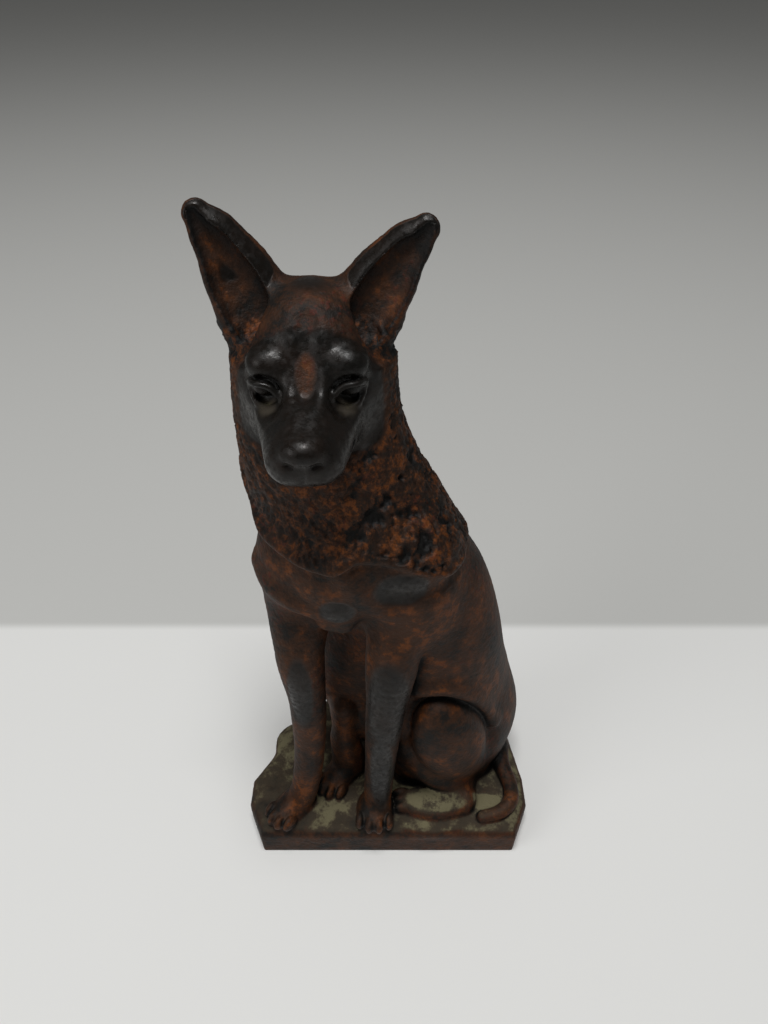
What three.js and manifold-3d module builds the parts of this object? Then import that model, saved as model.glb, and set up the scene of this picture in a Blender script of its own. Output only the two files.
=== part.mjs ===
// Cast iron dog statue: a seated, prick-eared shepherd dog cast in one with its low base.
//
// Millimetres, +Z up. The origin is the middle of the base's underside, and the dog looks
// towards -Y with its hips turned to the statue's +X side. "Left" and "right" are the dog's own.
//
// The casting is built the way a clay model is. Every form (egg, limb, stacked sections,
// tapered block) is a signed distance, negative inside, and the forms melt into each other over
// a named blend width. The surface of the clay is meshed, thinned to a faceted solid where it is
// smooth, and cut flat underneath.

import * as THREE from "three";
import { mergeVertices } from "three/addons/utils/BufferGeometryUtils.js";
import Module from "manifold-3d";

// ---------------------------------------------------------------- driving dimensions

const BASE = { halfWidth: 32.5, halfDepth: 22.5, height: 8, edgeRound: 2.4, batter: 0.04 };

// Turns are degrees about +Z from facing -Y, positive towards the dog's right (-X).
const TURN = { hips: 50, chest: 12, head: 0 };

const HEAD = { x: -12.4, y: -4.4, z: 117.5, nod: 13, length: 21.8 };
const HIPS = { x: 8.5, y: -0.5, z: 24, thighPitch: 73 };
const GROUND = BASE.height;

const CLAY = { step: 0.8, triangles: 9700, below: 1.2 };

// Sections of the trunk from the seat to the crown of the neck: height, centre, half length
// along the dog, half width across it and the turn of the section.
const TRUNK = [
  { z: GROUND, x: 12.5, y: 3, along: 15.5, across: 13.5, turn: TURN.hips },
  { z: 20, x: 12.5, y: 2.6, along: 17.5, across: 14.5, turn: TURN.hips },
  { z: 32, x: 12, y: 2.4, along: 17.5, across: 14.8, turn: 48 },
  { z: 45, x: 9.2, y: 2.6, along: 15.5, across: 16.6, turn: 40 },
  { z: 58, x: 5.4, y: 1.6, along: 14.5, across: 18.2, turn: 30 },
  { z: 70, x: 1.8, y: 0.6, along: 15, across: 17.6, turn: 24 },
  { z: 80, x: -3.2, y: -1, along: 14.5, across: 16.6, turn: 18 },
  { z: 90, x: -7.7, y: -2.4, along: 12.8, across: 16, turn: 8 },
  { z: 100, x: -10.8, y: -2.8, along: 11.6, across: 13.7, turn: TURN.head },
  { z: 109, x: -12.1, y: -2.6, along: 10.6, across: 13.4, turn: TURN.head },
  { z: 117, x: -12, y: -3, along: 9, across: 12.8, turn: TURN.head },
];

// Stations of each limb from its root to its end: centre line point and radius.
const LEFT_FORELEG = [
  { at: [3, -9, 68], r: 7.2 },
  { at: [0.9, -13.2, 58], r: 5.5 },
  { at: [-0.6, -15.3, 44], r: 4.1 },
  { at: [-1.8, -15.9, 26], r: 3.3 },
  { at: [-2.4, -16, 14], r: 3.1 },
  { at: [-2.7, -16.3, 10], r: 3.2 },
];
const RIGHT_FORELEG = [
  { at: [-17, -8, 68], r: 6.6 },
  { at: [-17.5, -12.3, 58], r: 4.9 },
  { at: [-16.7, -13.6, 44], r: 3.8 },
  { at: [-17.3, -14, 27], r: 3.3 },
  { at: [-18.9, -14.6, 15], r: 3.1 },
  { at: [-20.4, -15, 10], r: 3.2 },
];
const RIGHT_SHANK = [
  { at: [-9.6, -5.2, 33], r: 4.2 },
  { at: [-9.6, -5.2, 22], r: 4 },
  { at: [-9.4, -5.8, 10], r: 3.9 },
];
const LEFT_SHANK = [
  { at: [5.2, -10.2, 26], r: 3.3 },
  { at: [11, -11.6, 16], r: 3.6 },
  { at: [16, -12, 10], r: 3.8 },
];
const LEFT_HIND_FOOT = [
  { at: [17, -15, 9.3], r: 3.4 },
  { at: [11, -16.4, 9.4], r: 3.7 },
  { at: [6.2, -15.8, 9.3], r: 3.2 },
  { at: [4, -14.8, 9], r: 2.2 },
];
const TAIL = [
  { at: [18, 13.5, 12.5], r: 4.6 },
  { at: [24.6, 8.6, 10.8], r: 3.2 },
  { at: [27.2, 1, 9.8], r: 2.3 },
  { at: [27.4, -6, 9.8], r: 1.9 },
  { at: [28.7, -12, 9.8], r: 1.7 },
  { at: [28.2, -15.6, 9.8], r: 1.7 },
  { at: [25.6, -18, 9.4], r: 1.6 },
  { at: [21.5, -19, 8.9], r: 1.3 },
];

// The fold of skin over the left thigh and the two folds from the shoulders to the breast.
const FLANK_FOLD = [
  { at: [6.5, -12.2, 46.5], r: 1.5 },
  { at: [12, -12.4, 47.2], r: 1.7 },
  { at: [16.4, -11, 43], r: 1.7 },
  { at: [20.2, -9, 36], r: 1.5 },
  { at: [22.8, -7.6, 29], r: 1.2 },
];
const RIGHT_FOLD = [
  { at: [-23.2, -8.6, 78.5], r: 1.6 },
  { at: [-20.6, -13.2, 76.6], r: 1.6 },
  { at: [-17, -15.6, 74.8], r: 1.6 },
  { at: [-13.2, -16, 73.6], r: 1.6 },
];
const LEFT_FOLD = [
  { at: [-8.3, -18.2, 84], r: 1 },
  { at: [-5.6, -17.9, 79.6], r: 1 },
  { at: [-3, -17, 75.6], r: 1 },
  { at: [-0.6, -16.4, 72.6], r: 1 },
];

// Low mounds of rough ground on the base: where each is and how far it reaches.
const MOUNDS = [
  { x: -21.5, y: -14.5, reach: 7.5 },
  { x: -11, y: -12.5, reach: 6.5 },
  { x: -3, y: -15.5, reach: 6 },
  { x: 10, y: -16, reach: 8 },
  { x: 22.5, y: -14, reach: 6.5 },
  { x: -20, y: 2, reach: 8 },
];

// Each ear is a flattened horn on the line from its root to its tip. "inner" points from its
// outer edge to its inner edge.
const EARS = [
  { root: [-20.3, -0.6, 122.6], tip: [-29.7, 1.6, 138.4], inner: [8.3, 6, 8], halfWidth: 6.6 },
  { root: [-4.4, -0.6, 122.6], tip: [6.6, 1.8, 135.9], inner: [-9.2, 5, 7], halfWidth: 6.3 },
];

// Degrees that the hollow in front of an ear leans back towards its tip.
const HOLLOW_LEAN = 8;

// The mane ends in a raised, scalloped edge: its height at bearings round the neck, in degrees
// from the front, positive towards the dog's left.
const MANE = {
  x: -8,
  y: -2,
  thickness: 1,
  slope: 1.6,
  top: 112,
  fade: 14,
  edge: [
    [-180, 90],
    [-125, 95],
    [-87, 96],
    [-68, 88.6],
    [-38, 85.8],
    [-8, 84.6],
    [9, 86.2],
    [35, 83.8],
    [53, 80.4],
    [76, 80.2],
    [90, 79],
    [125, 81],
    [180, 90],
  ],
};

// ---------------------------------------------------------------- frames

const point = (coordinates) => new THREE.Vector3(...coordinates);

// A frame has an origin and the three axes of a body standing there: ahead, left and up.
function stance(x, y, z, turn = 0, pitch = 0) {
  const angle = THREE.MathUtils.degToRad(turn);
  const frame = {
    origin: new THREE.Vector3(x, y, z),
    ahead: new THREE.Vector3(-Math.sin(angle), -Math.cos(angle), 0),
    left: new THREE.Vector3(Math.cos(angle), -Math.sin(angle), 0),
    up: new THREE.Vector3(0, 0, 1),
  };
  return pitched(frame, pitch);
}

// Positive pitch lifts the front of the frame.
function pitched(frame, degrees) {
  const angle = -THREE.MathUtils.degToRad(degrees);
  return {
    origin: frame.origin.clone(),
    ahead: frame.ahead.clone().applyAxisAngle(frame.left, angle),
    left: frame.left.clone(),
    up: frame.up.clone().applyAxisAngle(frame.left, angle),
  };
}

function moved(frame, ahead, left, up, pitch = 0) {
  const origin = frame.origin.clone();
  origin.addScaledVector(frame.ahead, ahead);
  origin.addScaledVector(frame.left, left);
  origin.addScaledVector(frame.up, up);
  return pitched({ ...frame, origin }, pitch);
}

// Returns a function that gives a world point's coordinates in the frame.
function locator({ origin, ahead, left, up }) {
  return (x, y, z) => {
    const dx = x - origin.x;
    const dy = y - origin.y;
    const dz = z - origin.z;
    return [
      dx * ahead.x + dy * ahead.y + dz * ahead.z,
      dx * left.x + dy * left.y + dz * left.z,
      dx * up.x + dy * up.y + dz * up.z,
    ];
  };
}

// ---------------------------------------------------------------- forms

const smoothStep = (t) => {
  const c = THREE.MathUtils.clamp(t, 0, 1);
  return c * c * (3 - 2 * c);
};

// Ellipsoid with half axes along the frame's ahead, left and up.
function egg(frame, ahead, left, up) {
  const local = locator(frame);
  return (x, y, z) => {
    const [a, b, c] = local(x, y, z);
    const reach = Math.hypot(a / ahead, b / left, c / up);
    const slope = Math.hypot(a / ahead ** 2, b / left ** 2, c / up ** 2);
    return slope < 1e-9 ? -Math.min(ahead, left, up) : (reach * (reach - 1)) / slope;
  };
}

// Round limb along a smooth curve through its stations, its thickness eased between them.
function limb(stations, piecesPerSpan = 8) {
  const curve = new THREE.CatmullRomCurve3(stations.map((s) => point(s.at)), false, "centripetal");
  const spans = stations.length - 1;
  const beads = [];
  for (let i = 0; i <= spans * piecesPerSpan; i++) {
    const span = Math.min(Math.floor(i / piecesPerSpan), spans - 1);
    const t = i / piecesPerSpan - span;
    const ease = 0.5 * (t + smoothStep(t));
    const p = curve.getPoint(i / (spans * piecesPerSpan));
    beads.push({ p, r: THREE.MathUtils.lerp(stations[span].r, stations[span + 1].r, ease) });
  }
  const box = new THREE.Box3();
  for (const { p, r } of beads) box.union(new THREE.Box3(p.clone().subScalar(r), p.clone().addScalar(r)));
  const probe = new THREE.Vector3();
  return (x, y, z) => {
    const away = box.distanceToPoint(probe.set(x, y, z));
    if (away > FAR) return away;
    let nearest = Infinity;
    for (let i = 1; i < beads.length; i++) {
      nearest = Math.min(nearest, taperedCapsule(beads[i - 1], beads[i], x, y, z));
    }
    return nearest;
  };
}

function taperedCapsule(start, end, x, y, z) {
  const ex = end.p.x - start.p.x;
  const ey = end.p.y - start.p.y;
  const ez = end.p.z - start.p.z;
  const dx = x - start.p.x;
  const dy = y - start.p.y;
  const dz = z - start.p.z;
  const along = (dx * ex + dy * ey + dz * ez) / (ex * ex + ey * ey + ez * ez);
  const t = THREE.MathUtils.clamp(along, 0, 1);
  return Math.hypot(dx - t * ex, dy - t * ey, dz - t * ez) - (start.r + t * (end.r - start.r));
}

// Upright body of elliptical sections, each value a smooth curve through the sections.
function stack(sections) {
  const heights = sections.map((s) => s.z);
  const bottom = heights[0];
  const top = heights[heights.length - 1];
  const value = (name) => smoothCurve(heights, sections.map((s) => s[name]));
  const [cx, cy, along, across, turn] = ["x", "y", "along", "across", "turn"].map(value);
  const remembered = new Map();
  const sectionAt = (z) => {
    const key = Math.round(z * 20);
    if (!remembered.has(key)) {
      const h = key / 20;
      const angle = THREE.MathUtils.degToRad(turn(h));
      const aim = [-Math.sin(angle), -Math.cos(angle)];
      remembered.set(key, { x: cx(h), y: cy(h), along: along(h), across: across(h), aim });
    }
    return remembered.get(key);
  };
  return (x, y, z) => {
    const s = sectionAt(THREE.MathUtils.clamp(z, bottom, top));
    const dx = x - s.x;
    const dy = y - s.y;
    const a = dx * s.aim[0] + dy * s.aim[1];
    const b = dy * s.aim[0] - dx * s.aim[1];
    const reach = Math.hypot(a / s.along, b / s.across);
    const slope = Math.hypot(a / s.along ** 2, b / s.across ** 2);
    const side = slope < 1e-9 ? -s.along : (0.93 * reach * (reach - 1)) / slope;
    const end = Math.max(bottom - z, z - top);
    return end > 0 ? Math.hypot(Math.max(side, 0), end) : Math.max(side, end);
  };
}

// Cubic curve through (xs, ys), its slope at each point set by the neighbours on both sides.
function smoothCurve(xs, ys) {
  const last = xs.length - 1;
  const slope = (i) => {
    const before = Math.max(i - 1, 0);
    const after = Math.min(i + 1, last);
    return (ys[after] - ys[before]) / (xs[after] - xs[before]);
  };
  const slopes = xs.map((_, i) => slope(i));
  return (x) => {
    let i = 0;
    while (i < last - 1 && x > xs[i + 1]) i++;
    const width = xs[i + 1] - xs[i];
    const t = THREE.MathUtils.clamp((x - xs[i]) / width, 0, 1);
    const mix = smoothStep(t);
    const rise = t * (1 - t) * width * ((1 - t) * slopes[i] - t * slopes[i + 1]);
    return ys[i] * (1 - mix) + ys[i + 1] * mix + rise;
  };
}

// Tapered block with rounded edges, from "from" to "to" along the frame's ahead axis.
function taperedBlock(frame, { from, to, halfWidth, halfHeight, lift, round }) {
  const local = locator(frame);
  const mid = (from + to) / 2;
  const halfLength = (to - from) / 2;
  return (x, y, z) => {
    const [a, b, c] = local(x, y, z);
    const t = THREE.MathUtils.clamp((a - from) / (to - from), 0, 1);
    const end = Math.abs(a - mid) - halfLength + round;
    const side = Math.abs(b) - THREE.MathUtils.lerp(...halfWidth, t) + round;
    const rise = Math.abs(c - THREE.MathUtils.lerp(...lift, t));
    const face = rise - THREE.MathUtils.lerp(...halfHeight, t) + round;
    const outside = Math.hypot(Math.max(end, 0), Math.max(side, 0), Math.max(face, 0));
    return outside + Math.min(Math.max(end, side, face), 0) - round;
  };
}

// ---------------------------------------------------------------- clay

const FAR = 8;
const SEAM = 1.3;

function blend(a, b, width) {
  const overlap = Math.max(width - Math.abs(a - b), 0) / width;
  return Math.min(a, b) - overlap * overlap * width * 0.25;
}

class Clay {
  constructor() {
    this.steps = [];
  }

  // Adds a form, its joint with what is there already filled over the blend width. "seam" gives
  // the depth of a valley drawn along the joint at a point.
  add(form, width, seam = null) {
    this.steps.push({ form, width, seam, adds: true });
  }

  // Presses a form's shape out of what is there already.
  press(form, width) {
    this.steps.push({ form, width, adds: false });
  }

  distance(x, y, z) {
    let d = Infinity;
    for (const { form, width, seam, adds } of this.steps) {
      const f = form(x, y, z);
      const valley = seam && Math.abs(f) < FAR ? seam(x, y, z) * Math.exp(-(((f - d) / SEAM) ** 2)) : 0;
      if (adds && f < d + width) d = blend(Math.min(d, 1e6), f, width);
      else if (!adds && -f > d - width) d = -blend(-d, f, width);
      d += valley;
    }
    return d;
  }
}

// ---------------------------------------------------------------- base

// The base is straight along the front, has cut front corners and narrows to the back.
function basePlan() {
  const { halfWidth: w, halfDepth: d } = BASE;
  return [
    [-w + 3.6, -d],
    [w - 3.6, -d],
    [w, -d + 8],
    [w, -d + 14.5],
    [w - 2, 4],
    [w - 5, 14.5],
    [w - 13.5, d - 1],
    [-3, d],
    [-14, d - 4],
    [-w + 8, 5],
    [-w, -d + 14],
    [-w, -d + 8],
  ].map(([x, y]) => new THREE.Vector2(x, y));
}

function base() {
  const plan = basePlan();
  const { height, edgeRound, batter } = BASE;
  return (x, y, z) => {
    const above = z - height;
    if (above > FAR) return above;
    const side = planDistance(plan, x, y) - batter * above + edgeRound;
    const top = above + edgeRound;
    const outside = Math.hypot(Math.max(side, 0), Math.max(top, 0));
    return outside + Math.min(Math.max(side, top), 0) - edgeRound;
  };
}

function planDistance(plan, x, y) {
  let nearest = Infinity;
  let inside = false;
  for (let i = 0; i < plan.length; i++) {
    const a = plan[i];
    const b = plan[(i + 1) % plan.length];
    const ex = b.x - a.x;
    const ey = b.y - a.y;
    const along = ((x - a.x) * ex + (y - a.y) * ey) / (ex * ex + ey * ey);
    const t = THREE.MathUtils.clamp(along, 0, 1);
    nearest = Math.min(nearest, Math.hypot(x - a.x - t * ex, y - a.y - t * ey));
    if (a.y > y !== b.y > y && x < (ex * (y - a.y)) / ey + a.x) inside = !inside;
  }
  return inside ? -nearest : nearest;
}

// ---------------------------------------------------------------- dog

function modelTrunk(clay) {
  clay.add(stack(TRUNK), 3);
  clay.add(egg(stance(-7.4, 2.3, 46, 35), 9.6, 12.6, 19), 5);
  clay.add(egg(stance(-9, -5.8, 80, TURN.chest), 13.6, 14.2, 15), 4);
  clay.add(taperedBlock(stance(-9.2, -11.5, 72, TURN.chest), {
    ends: [-4, 5.6],
    halfWidth: [4.2, 3.6],
    halfHeight: [5.6, 5.2],
    lift: [0, 0],
    rounding: 2.2,
  }), 2);
  clay.add(egg(stance(-9.1, -15.4, 74.5, TURN.chest), 3.6, 3.9, 4.2), 1.6);
  clay.add(egg(stance(-17.6, -6.5, 75, 20), 8, 6.2, 14), 4);
  clay.add(egg(stance(4.2, -8.8, 73, 5), 8.5, 7.8, 15), 4);
  const shoulderSeam = (x, y, z) => 0.8 * smoothStep((82 - z) / 6);
  clay.add(egg(stance(3, -10.6, 81.5, -TURN.chest), 7, 8.8, 9), 1.4, shoulderSeam);
  clay.add(limb(RIGHT_FOLD), 2.6);
  clay.add(limb(LEFT_FOLD), 2.6);
}

function modelForelegs(clay) {
  const legSeam = (x, y, z) => 0.7 * smoothStep((z - 22) / 8) * smoothStep((63 - z) / 8);
  clay.add(limb(RIGHT_FORELEG), 1.6, legSeam);
  clay.add(limb(LEFT_FORELEG), 1.6, legSeam);
  clay.add(egg(stance(-22.6, -16.9, GROUND + 1.6, 38), 5.4, 3.3, 2.6), 1.5);
  clay.add(egg(stance(-3, -17.6, GROUND + 1.6, 3), 5, 3.8, 2.6), 1.5);
}

function modelHindquarters(clay) {
  const hips = stance(HIPS.x, HIPS.y, HIPS.z, TURN.hips);
  clay.add(egg(moved(hips, -6.5, 6.6, -4), 14.5, 8.8, 14.5), 5);
  clay.add(limb(FLANK_FOLD), 3);
  const thighSeam = (x, y, z) => 1.4 * smoothStep((z - 16) / 10);
  clay.add(egg(moved(hips, 1.2, 9.4, 3, HIPS.thighPitch), 18.6, 8.6, 9.8), 1, thighSeam);
  clay.add(egg(moved(hips, 2, -9, 2, 38), 20, 8.4, 16), 3);
  clay.add(limb(RIGHT_SHANK), 1, () => 0.9);
  clay.add(egg(stance(-12, -9, GROUND + 1.6, 30), 5.6, 3.6, 2.8), 1.5);
  clay.add(limb(LEFT_SHANK), 2);
  clay.add(limb(LEFT_HIND_FOOT), 1);
  clay.add(limb(TAIL), 0.8);
}

function modelHead(clay) {
  const head = stance(HEAD.x, HEAD.y, HEAD.z, TURN.head, -HEAD.nod);
  clay.add(egg(moved(head, -2.5, 0, 0.3), 11, 10, 9.6), 4);
  clay.add(egg(moved(head, -3, 0, -6), 9.5, 10.8, 9), 4);
  clay.add(taperedBlock(head, {
    from: -3,
    to: HEAD.length,
    halfWidth: [11.8, 4.8],
    halfHeight: [4.4, 2.5],
    lift: [-5.6, -3.7],
    round: 2.3,
  }), 2.2);
  clay.add(taperedBlock(head, {
    from: 2,
    to: HEAD.length - 0.6,
    halfWidth: [4, 3],
    halfHeight: [4.2, 3.2],
    lift: [-1.8, -2.2],
    round: 2.2,
  }), 4.5);
  for (const side of [-1, 1]) {
    clay.add(egg(moved(head, 0, side * 6, -4), 8, 4.4, 6), 3);
    clay.add(egg(moved(head, 5.6, side * 5.9, 3), 3, 3.3, 2.6), 1.5);
    clay.press(egg(moved(head, 11.2, side * 6.6, 0.6), 3.4, 2.7, 2), 1.4);
    clay.add(egg(moved(head, 7.6, side * 6.3, 0.6), 1.9, 2, 1.4), 0.4);
  }
  clay.add(egg(moved(head, 20.3, 0, -0.5), 2.5, 3.3, 2.1), 0.7);
  for (const ear of EARS) modelEar(clay, ear);
}

// A horn in the ear's own frame, flattened front to back. Each station has its share of the
// ear's length, its shift towards the inner edge and its radius.
function horn(frame, length, flatness, stations) {
  const round = limb(stations.map(({ share, shift, r }) => ({ at: [0, shift, share * length], r })), 6);
  const local = locator(frame);
  return (x, y, z) => {
    const [a, b, c] = local(x, y, z);
    return round(a / flatness, b, c) * flatness;
  };
}

function modelEar(clay, { root, tip, inner, halfWidth }) {
  const origin = point(root);
  const up = point(tip).sub(origin);
  const length = up.length();
  up.normalize();
  const left = point(inner);
  left.addScaledVector(up, -left.dot(up)).normalize();
  const ahead = new THREE.Vector3().crossVectors(left, up);
  if (ahead.y > 0) ahead.negate();
  const frame = { origin, ahead, left, up };
  clay.add(horn(frame, length, 0.62, [
    { share: 0, shift: 0, r: halfWidth },
    { share: 0.3, shift: 0.5, r: 0.86 * halfWidth },
    { share: 0.65, shift: 0.9, r: 0.6 * halfWidth },
    { share: 0.9, shift: 0.4, r: 2.2 },
  ]), 1.8);
  clay.press(horn(moved(frame, 3.3, 0, 0, HOLLOW_LEAN), length, 0.62, [
    { share: 0, shift: -2, r: 3.9 },
    { share: 0.3, shift: -1.2, r: 3.9 },
    { share: 0.6, shift: -0.5, r: 2.8 },
    { share: 0.82, shift: -0.5, r: 1.5 },
    { share: 0.93, shift: -0.2, r: 0.8 },
  ]), 0.7);
}

// Thickness that the mane adds to the clay at a point.
function maneThickness() {
  const edgeHeight = smoothCurve(...[0, 1].map((column) => MANE.edge.map((row) => row[column])));
  return (x, y, z) => {
    const bearing = THREE.MathUtils.radToDeg(Math.atan2(x - MANE.x, MANE.y - y));
    const onMane = smoothStep((z - edgeHeight(bearing)) / MANE.slope + 0.5);
    return MANE.thickness * onMane * smoothStep((MANE.top - z) / MANE.fade);
  };
}

function statueField() {
  const clay = new Clay();
  clay.add(base(), 0.01);
  for (const { x, y, reach } of MOUNDS) {
    clay.add(egg(stance(x, y, GROUND - 0.7, 0), 0.8 * reach, reach, 1.9), 2);
  }
  modelTrunk(clay);
  modelForelegs(clay);
  modelHindquarters(clay);
  modelHead(clay);
  const mane = maneThickness();
  return (x, y, z) => {
    const d = clay.distance(x, y, z);
    const furred = Math.abs(d) < 3 && z > 66 ? d - mane(x, y, z) : d;
    return Math.max(furred, -z - CLAY.below);
  };
}

// ---------------------------------------------------------------- meshing

// Surface net: one vertex in each grid cell that the surface crosses, one quad for each
// crossed grid edge.
function surfaceNet(field, box, step) {
  const counts = box.getSize(new THREE.Vector3()).divideScalar(step).ceil().addScalar(1).toArray();
  const [nx, ny, nz] = counts;
  const node = (i, j, k) => i + nx * (j + ny * k);
  const values = new Float32Array(nx * ny * nz);
  for (let k = 0; k < nz; k++) {
    for (let j = 0; j < ny; j++) {
      for (let i = 0; i < nx; i++) {
        values[node(i, j, k)] = field(box.min.x + i * step, box.min.y + j * step, box.min.z + k * step);
      }
    }
  }
  const strides = [1, nx, nx * ny];
  const vertexOf = new Int32Array(values.length).fill(-1);
  const positions = [];
  for (let k = 0; k < nz - 1; k++) {
    for (let j = 0; j < ny - 1; j++) {
      for (let i = 0; i < nx - 1; i++) {
        const centre = crossingCentre(values, node(i, j, k), strides);
        if (!centre) continue;
        vertexOf[node(i, j, k)] = positions.length / 3;
        positions.push(
          box.min.x + (i + centre[0]) * step,
          box.min.y + (j + centre[1]) * step,
          box.min.z + (k + centre[2]) * step,
        );
      }
    }
  }
  const index = [];
  for (let k = 1; k < nz - 1; k++) {
    for (let j = 1; j < ny - 1; j++) {
      for (let i = 1; i < nx - 1; i++) {
        const here = node(i, j, k);
        const inside = values[here] < 0;
        for (let axis = 0; axis < 3; axis++) {
          if (inside === values[here + strides[axis]] < 0) continue;
          const u = strides[(axis + 1) % 3];
          const v = strides[(axis + 2) % 3];
          const [a, b, c, d] = [here - u - v, here - v, here, here - u].map((cell) => vertexOf[cell]);
          index.push(...(inside ? [a, b, c, a, c, d] : [a, c, b, a, d, c]));
        }
      }
    }
  }
  return { positions, index };
}

// Mean of the points where a cell's edges cross the surface, or null if none does.
function crossingCentre(values, cell, strides) {
  const sum = [0, 0, 0];
  let count = 0;
  for (let corner = 0; corner < 8; corner++) {
    const bits = [corner & 1, (corner >> 1) & 1, corner >> 2];
    const from = cell + bits[0] * strides[0] + bits[1] * strides[1] + bits[2] * strides[2];
    for (let axis = 0; axis < 3; axis++) {
      if (bits[axis]) continue;
      const a = values[from];
      const b = values[from + strides[axis]];
      if (a < 0 === b < 0) continue;
      for (let other = 0; other < 3; other++) sum[other] += bits[other];
      sum[axis] += a / (a - b);
      count++;
    }
  }
  return count ? sum.map((s) => s / count) : null;
}

// Moves each vertex along the field's gradient onto the surface.
function settle({ positions }, field, rounds = 2) {
  const h = 0.05;
  const longest = 0.4;
  for (let round = 0; round < rounds; round++) {
    for (let i = 0; i < positions.length; i += 3) {
      const [x, y, z] = positions.slice(i, i + 3);
      const d = field(x, y, z);
      const slope = [field(x + h, y, z) - d, field(x, y + h, z) - d, field(x, y, z + h) - d].map((s) => s / h);
      const squared = slope[0] ** 2 + slope[1] ** 2 + slope[2] ** 2;
      if (squared < 0.05) continue;
      const move = THREE.MathUtils.clamp(d / squared, -longest, longest);
      for (let axis = 0; axis < 3; axis++) positions[i + axis] -= move * slope[axis];
    }
  }
}

// ---------------------------------------------------------------- thinning

// Sum of squared distances to a set of planes, and weakly to the points they came from, as the
// ten numbers of a symmetric 4 x 4 matrix.
class Quadrics {
  constructor(count) {
    this.values = new Float64Array(count * 10);
  }

  addPlane(vertex, [a, b, c], d, weight) {
    const terms = [a * a, a * b, a * c, a * d, b * b, b * c, b * d, c * c, c * d, d * d];
    terms.forEach((term, i) => (this.values[vertex * 10 + i] += weight * term));
  }

  addPoint(vertex, [x, y, z], weight) {
    const terms = [1, 0, 0, -x, 1, 0, -y, 1, -z, x * x + y * y + z * z];
    terms.forEach((term, i) => (this.values[vertex * 10 + i] += weight * term));
  }

  merge(into, from) {
    for (let i = 0; i < 10; i++) this.values[into * 10 + i] += this.values[from * 10 + i];
  }

  sum(a, b) {
    const total = [];
    for (let i = 0; i < 10; i++) total.push(this.values[a * 10 + i] + this.values[b * 10 + i]);
    return total;
  }
}

function quadricError([aa, ab, ac, ad, bb, bc, bd, cc, cd, dd], [x, y, z]) {
  const square = aa * x * x + bb * y * y + cc * z * z;
  const cross = ab * x * y + ac * x * z + bc * y * z;
  return square + 2 * (cross + ad * x + bd * y + cd * z) + dd;
}

// The point with the least error, or null where the planes leave it free.
function leastErrorPoint([aa, ab, ac, ad, bb, bc, bd, cc, cd]) {
  const m = new THREE.Matrix3().set(aa, ab, ac, ab, bb, bc, ac, bc, cc);
  if (Math.abs(m.determinant()) < 1e-12) return null;
  return new THREE.Vector3(-ad, -bd, -cd).applyMatrix3(m.invert()).toArray();
}

// Binary heap of items ordered by their cost.
class Heap {
  constructor() {
    this.items = [];
  }

  push(item) {
    const { items } = this;
    let i = items.push(item) - 1;
    while (i > 0) {
      const parent = (i - 1) >> 1;
      if (items[parent].cost <= items[i].cost) break;
      [items[parent], items[i]] = [items[i], items[parent]];
      i = parent;
    }
  }

  pop() {
    const { items } = this;
    const first = items[0];
    const last = items.pop();
    if (items.length) {
      items[0] = last;
      let i = 0;
      for (;;) {
        let least = i;
        for (const child of [2 * i + 1, 2 * i + 2]) {
          if (child < items.length && items[child].cost < items[least].cost) least = child;
        }
        if (least === i) break;
        [items[least], items[i]] = [items[i], items[least]];
        i = least;
      }
    }
    return first;
  }
}

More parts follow.
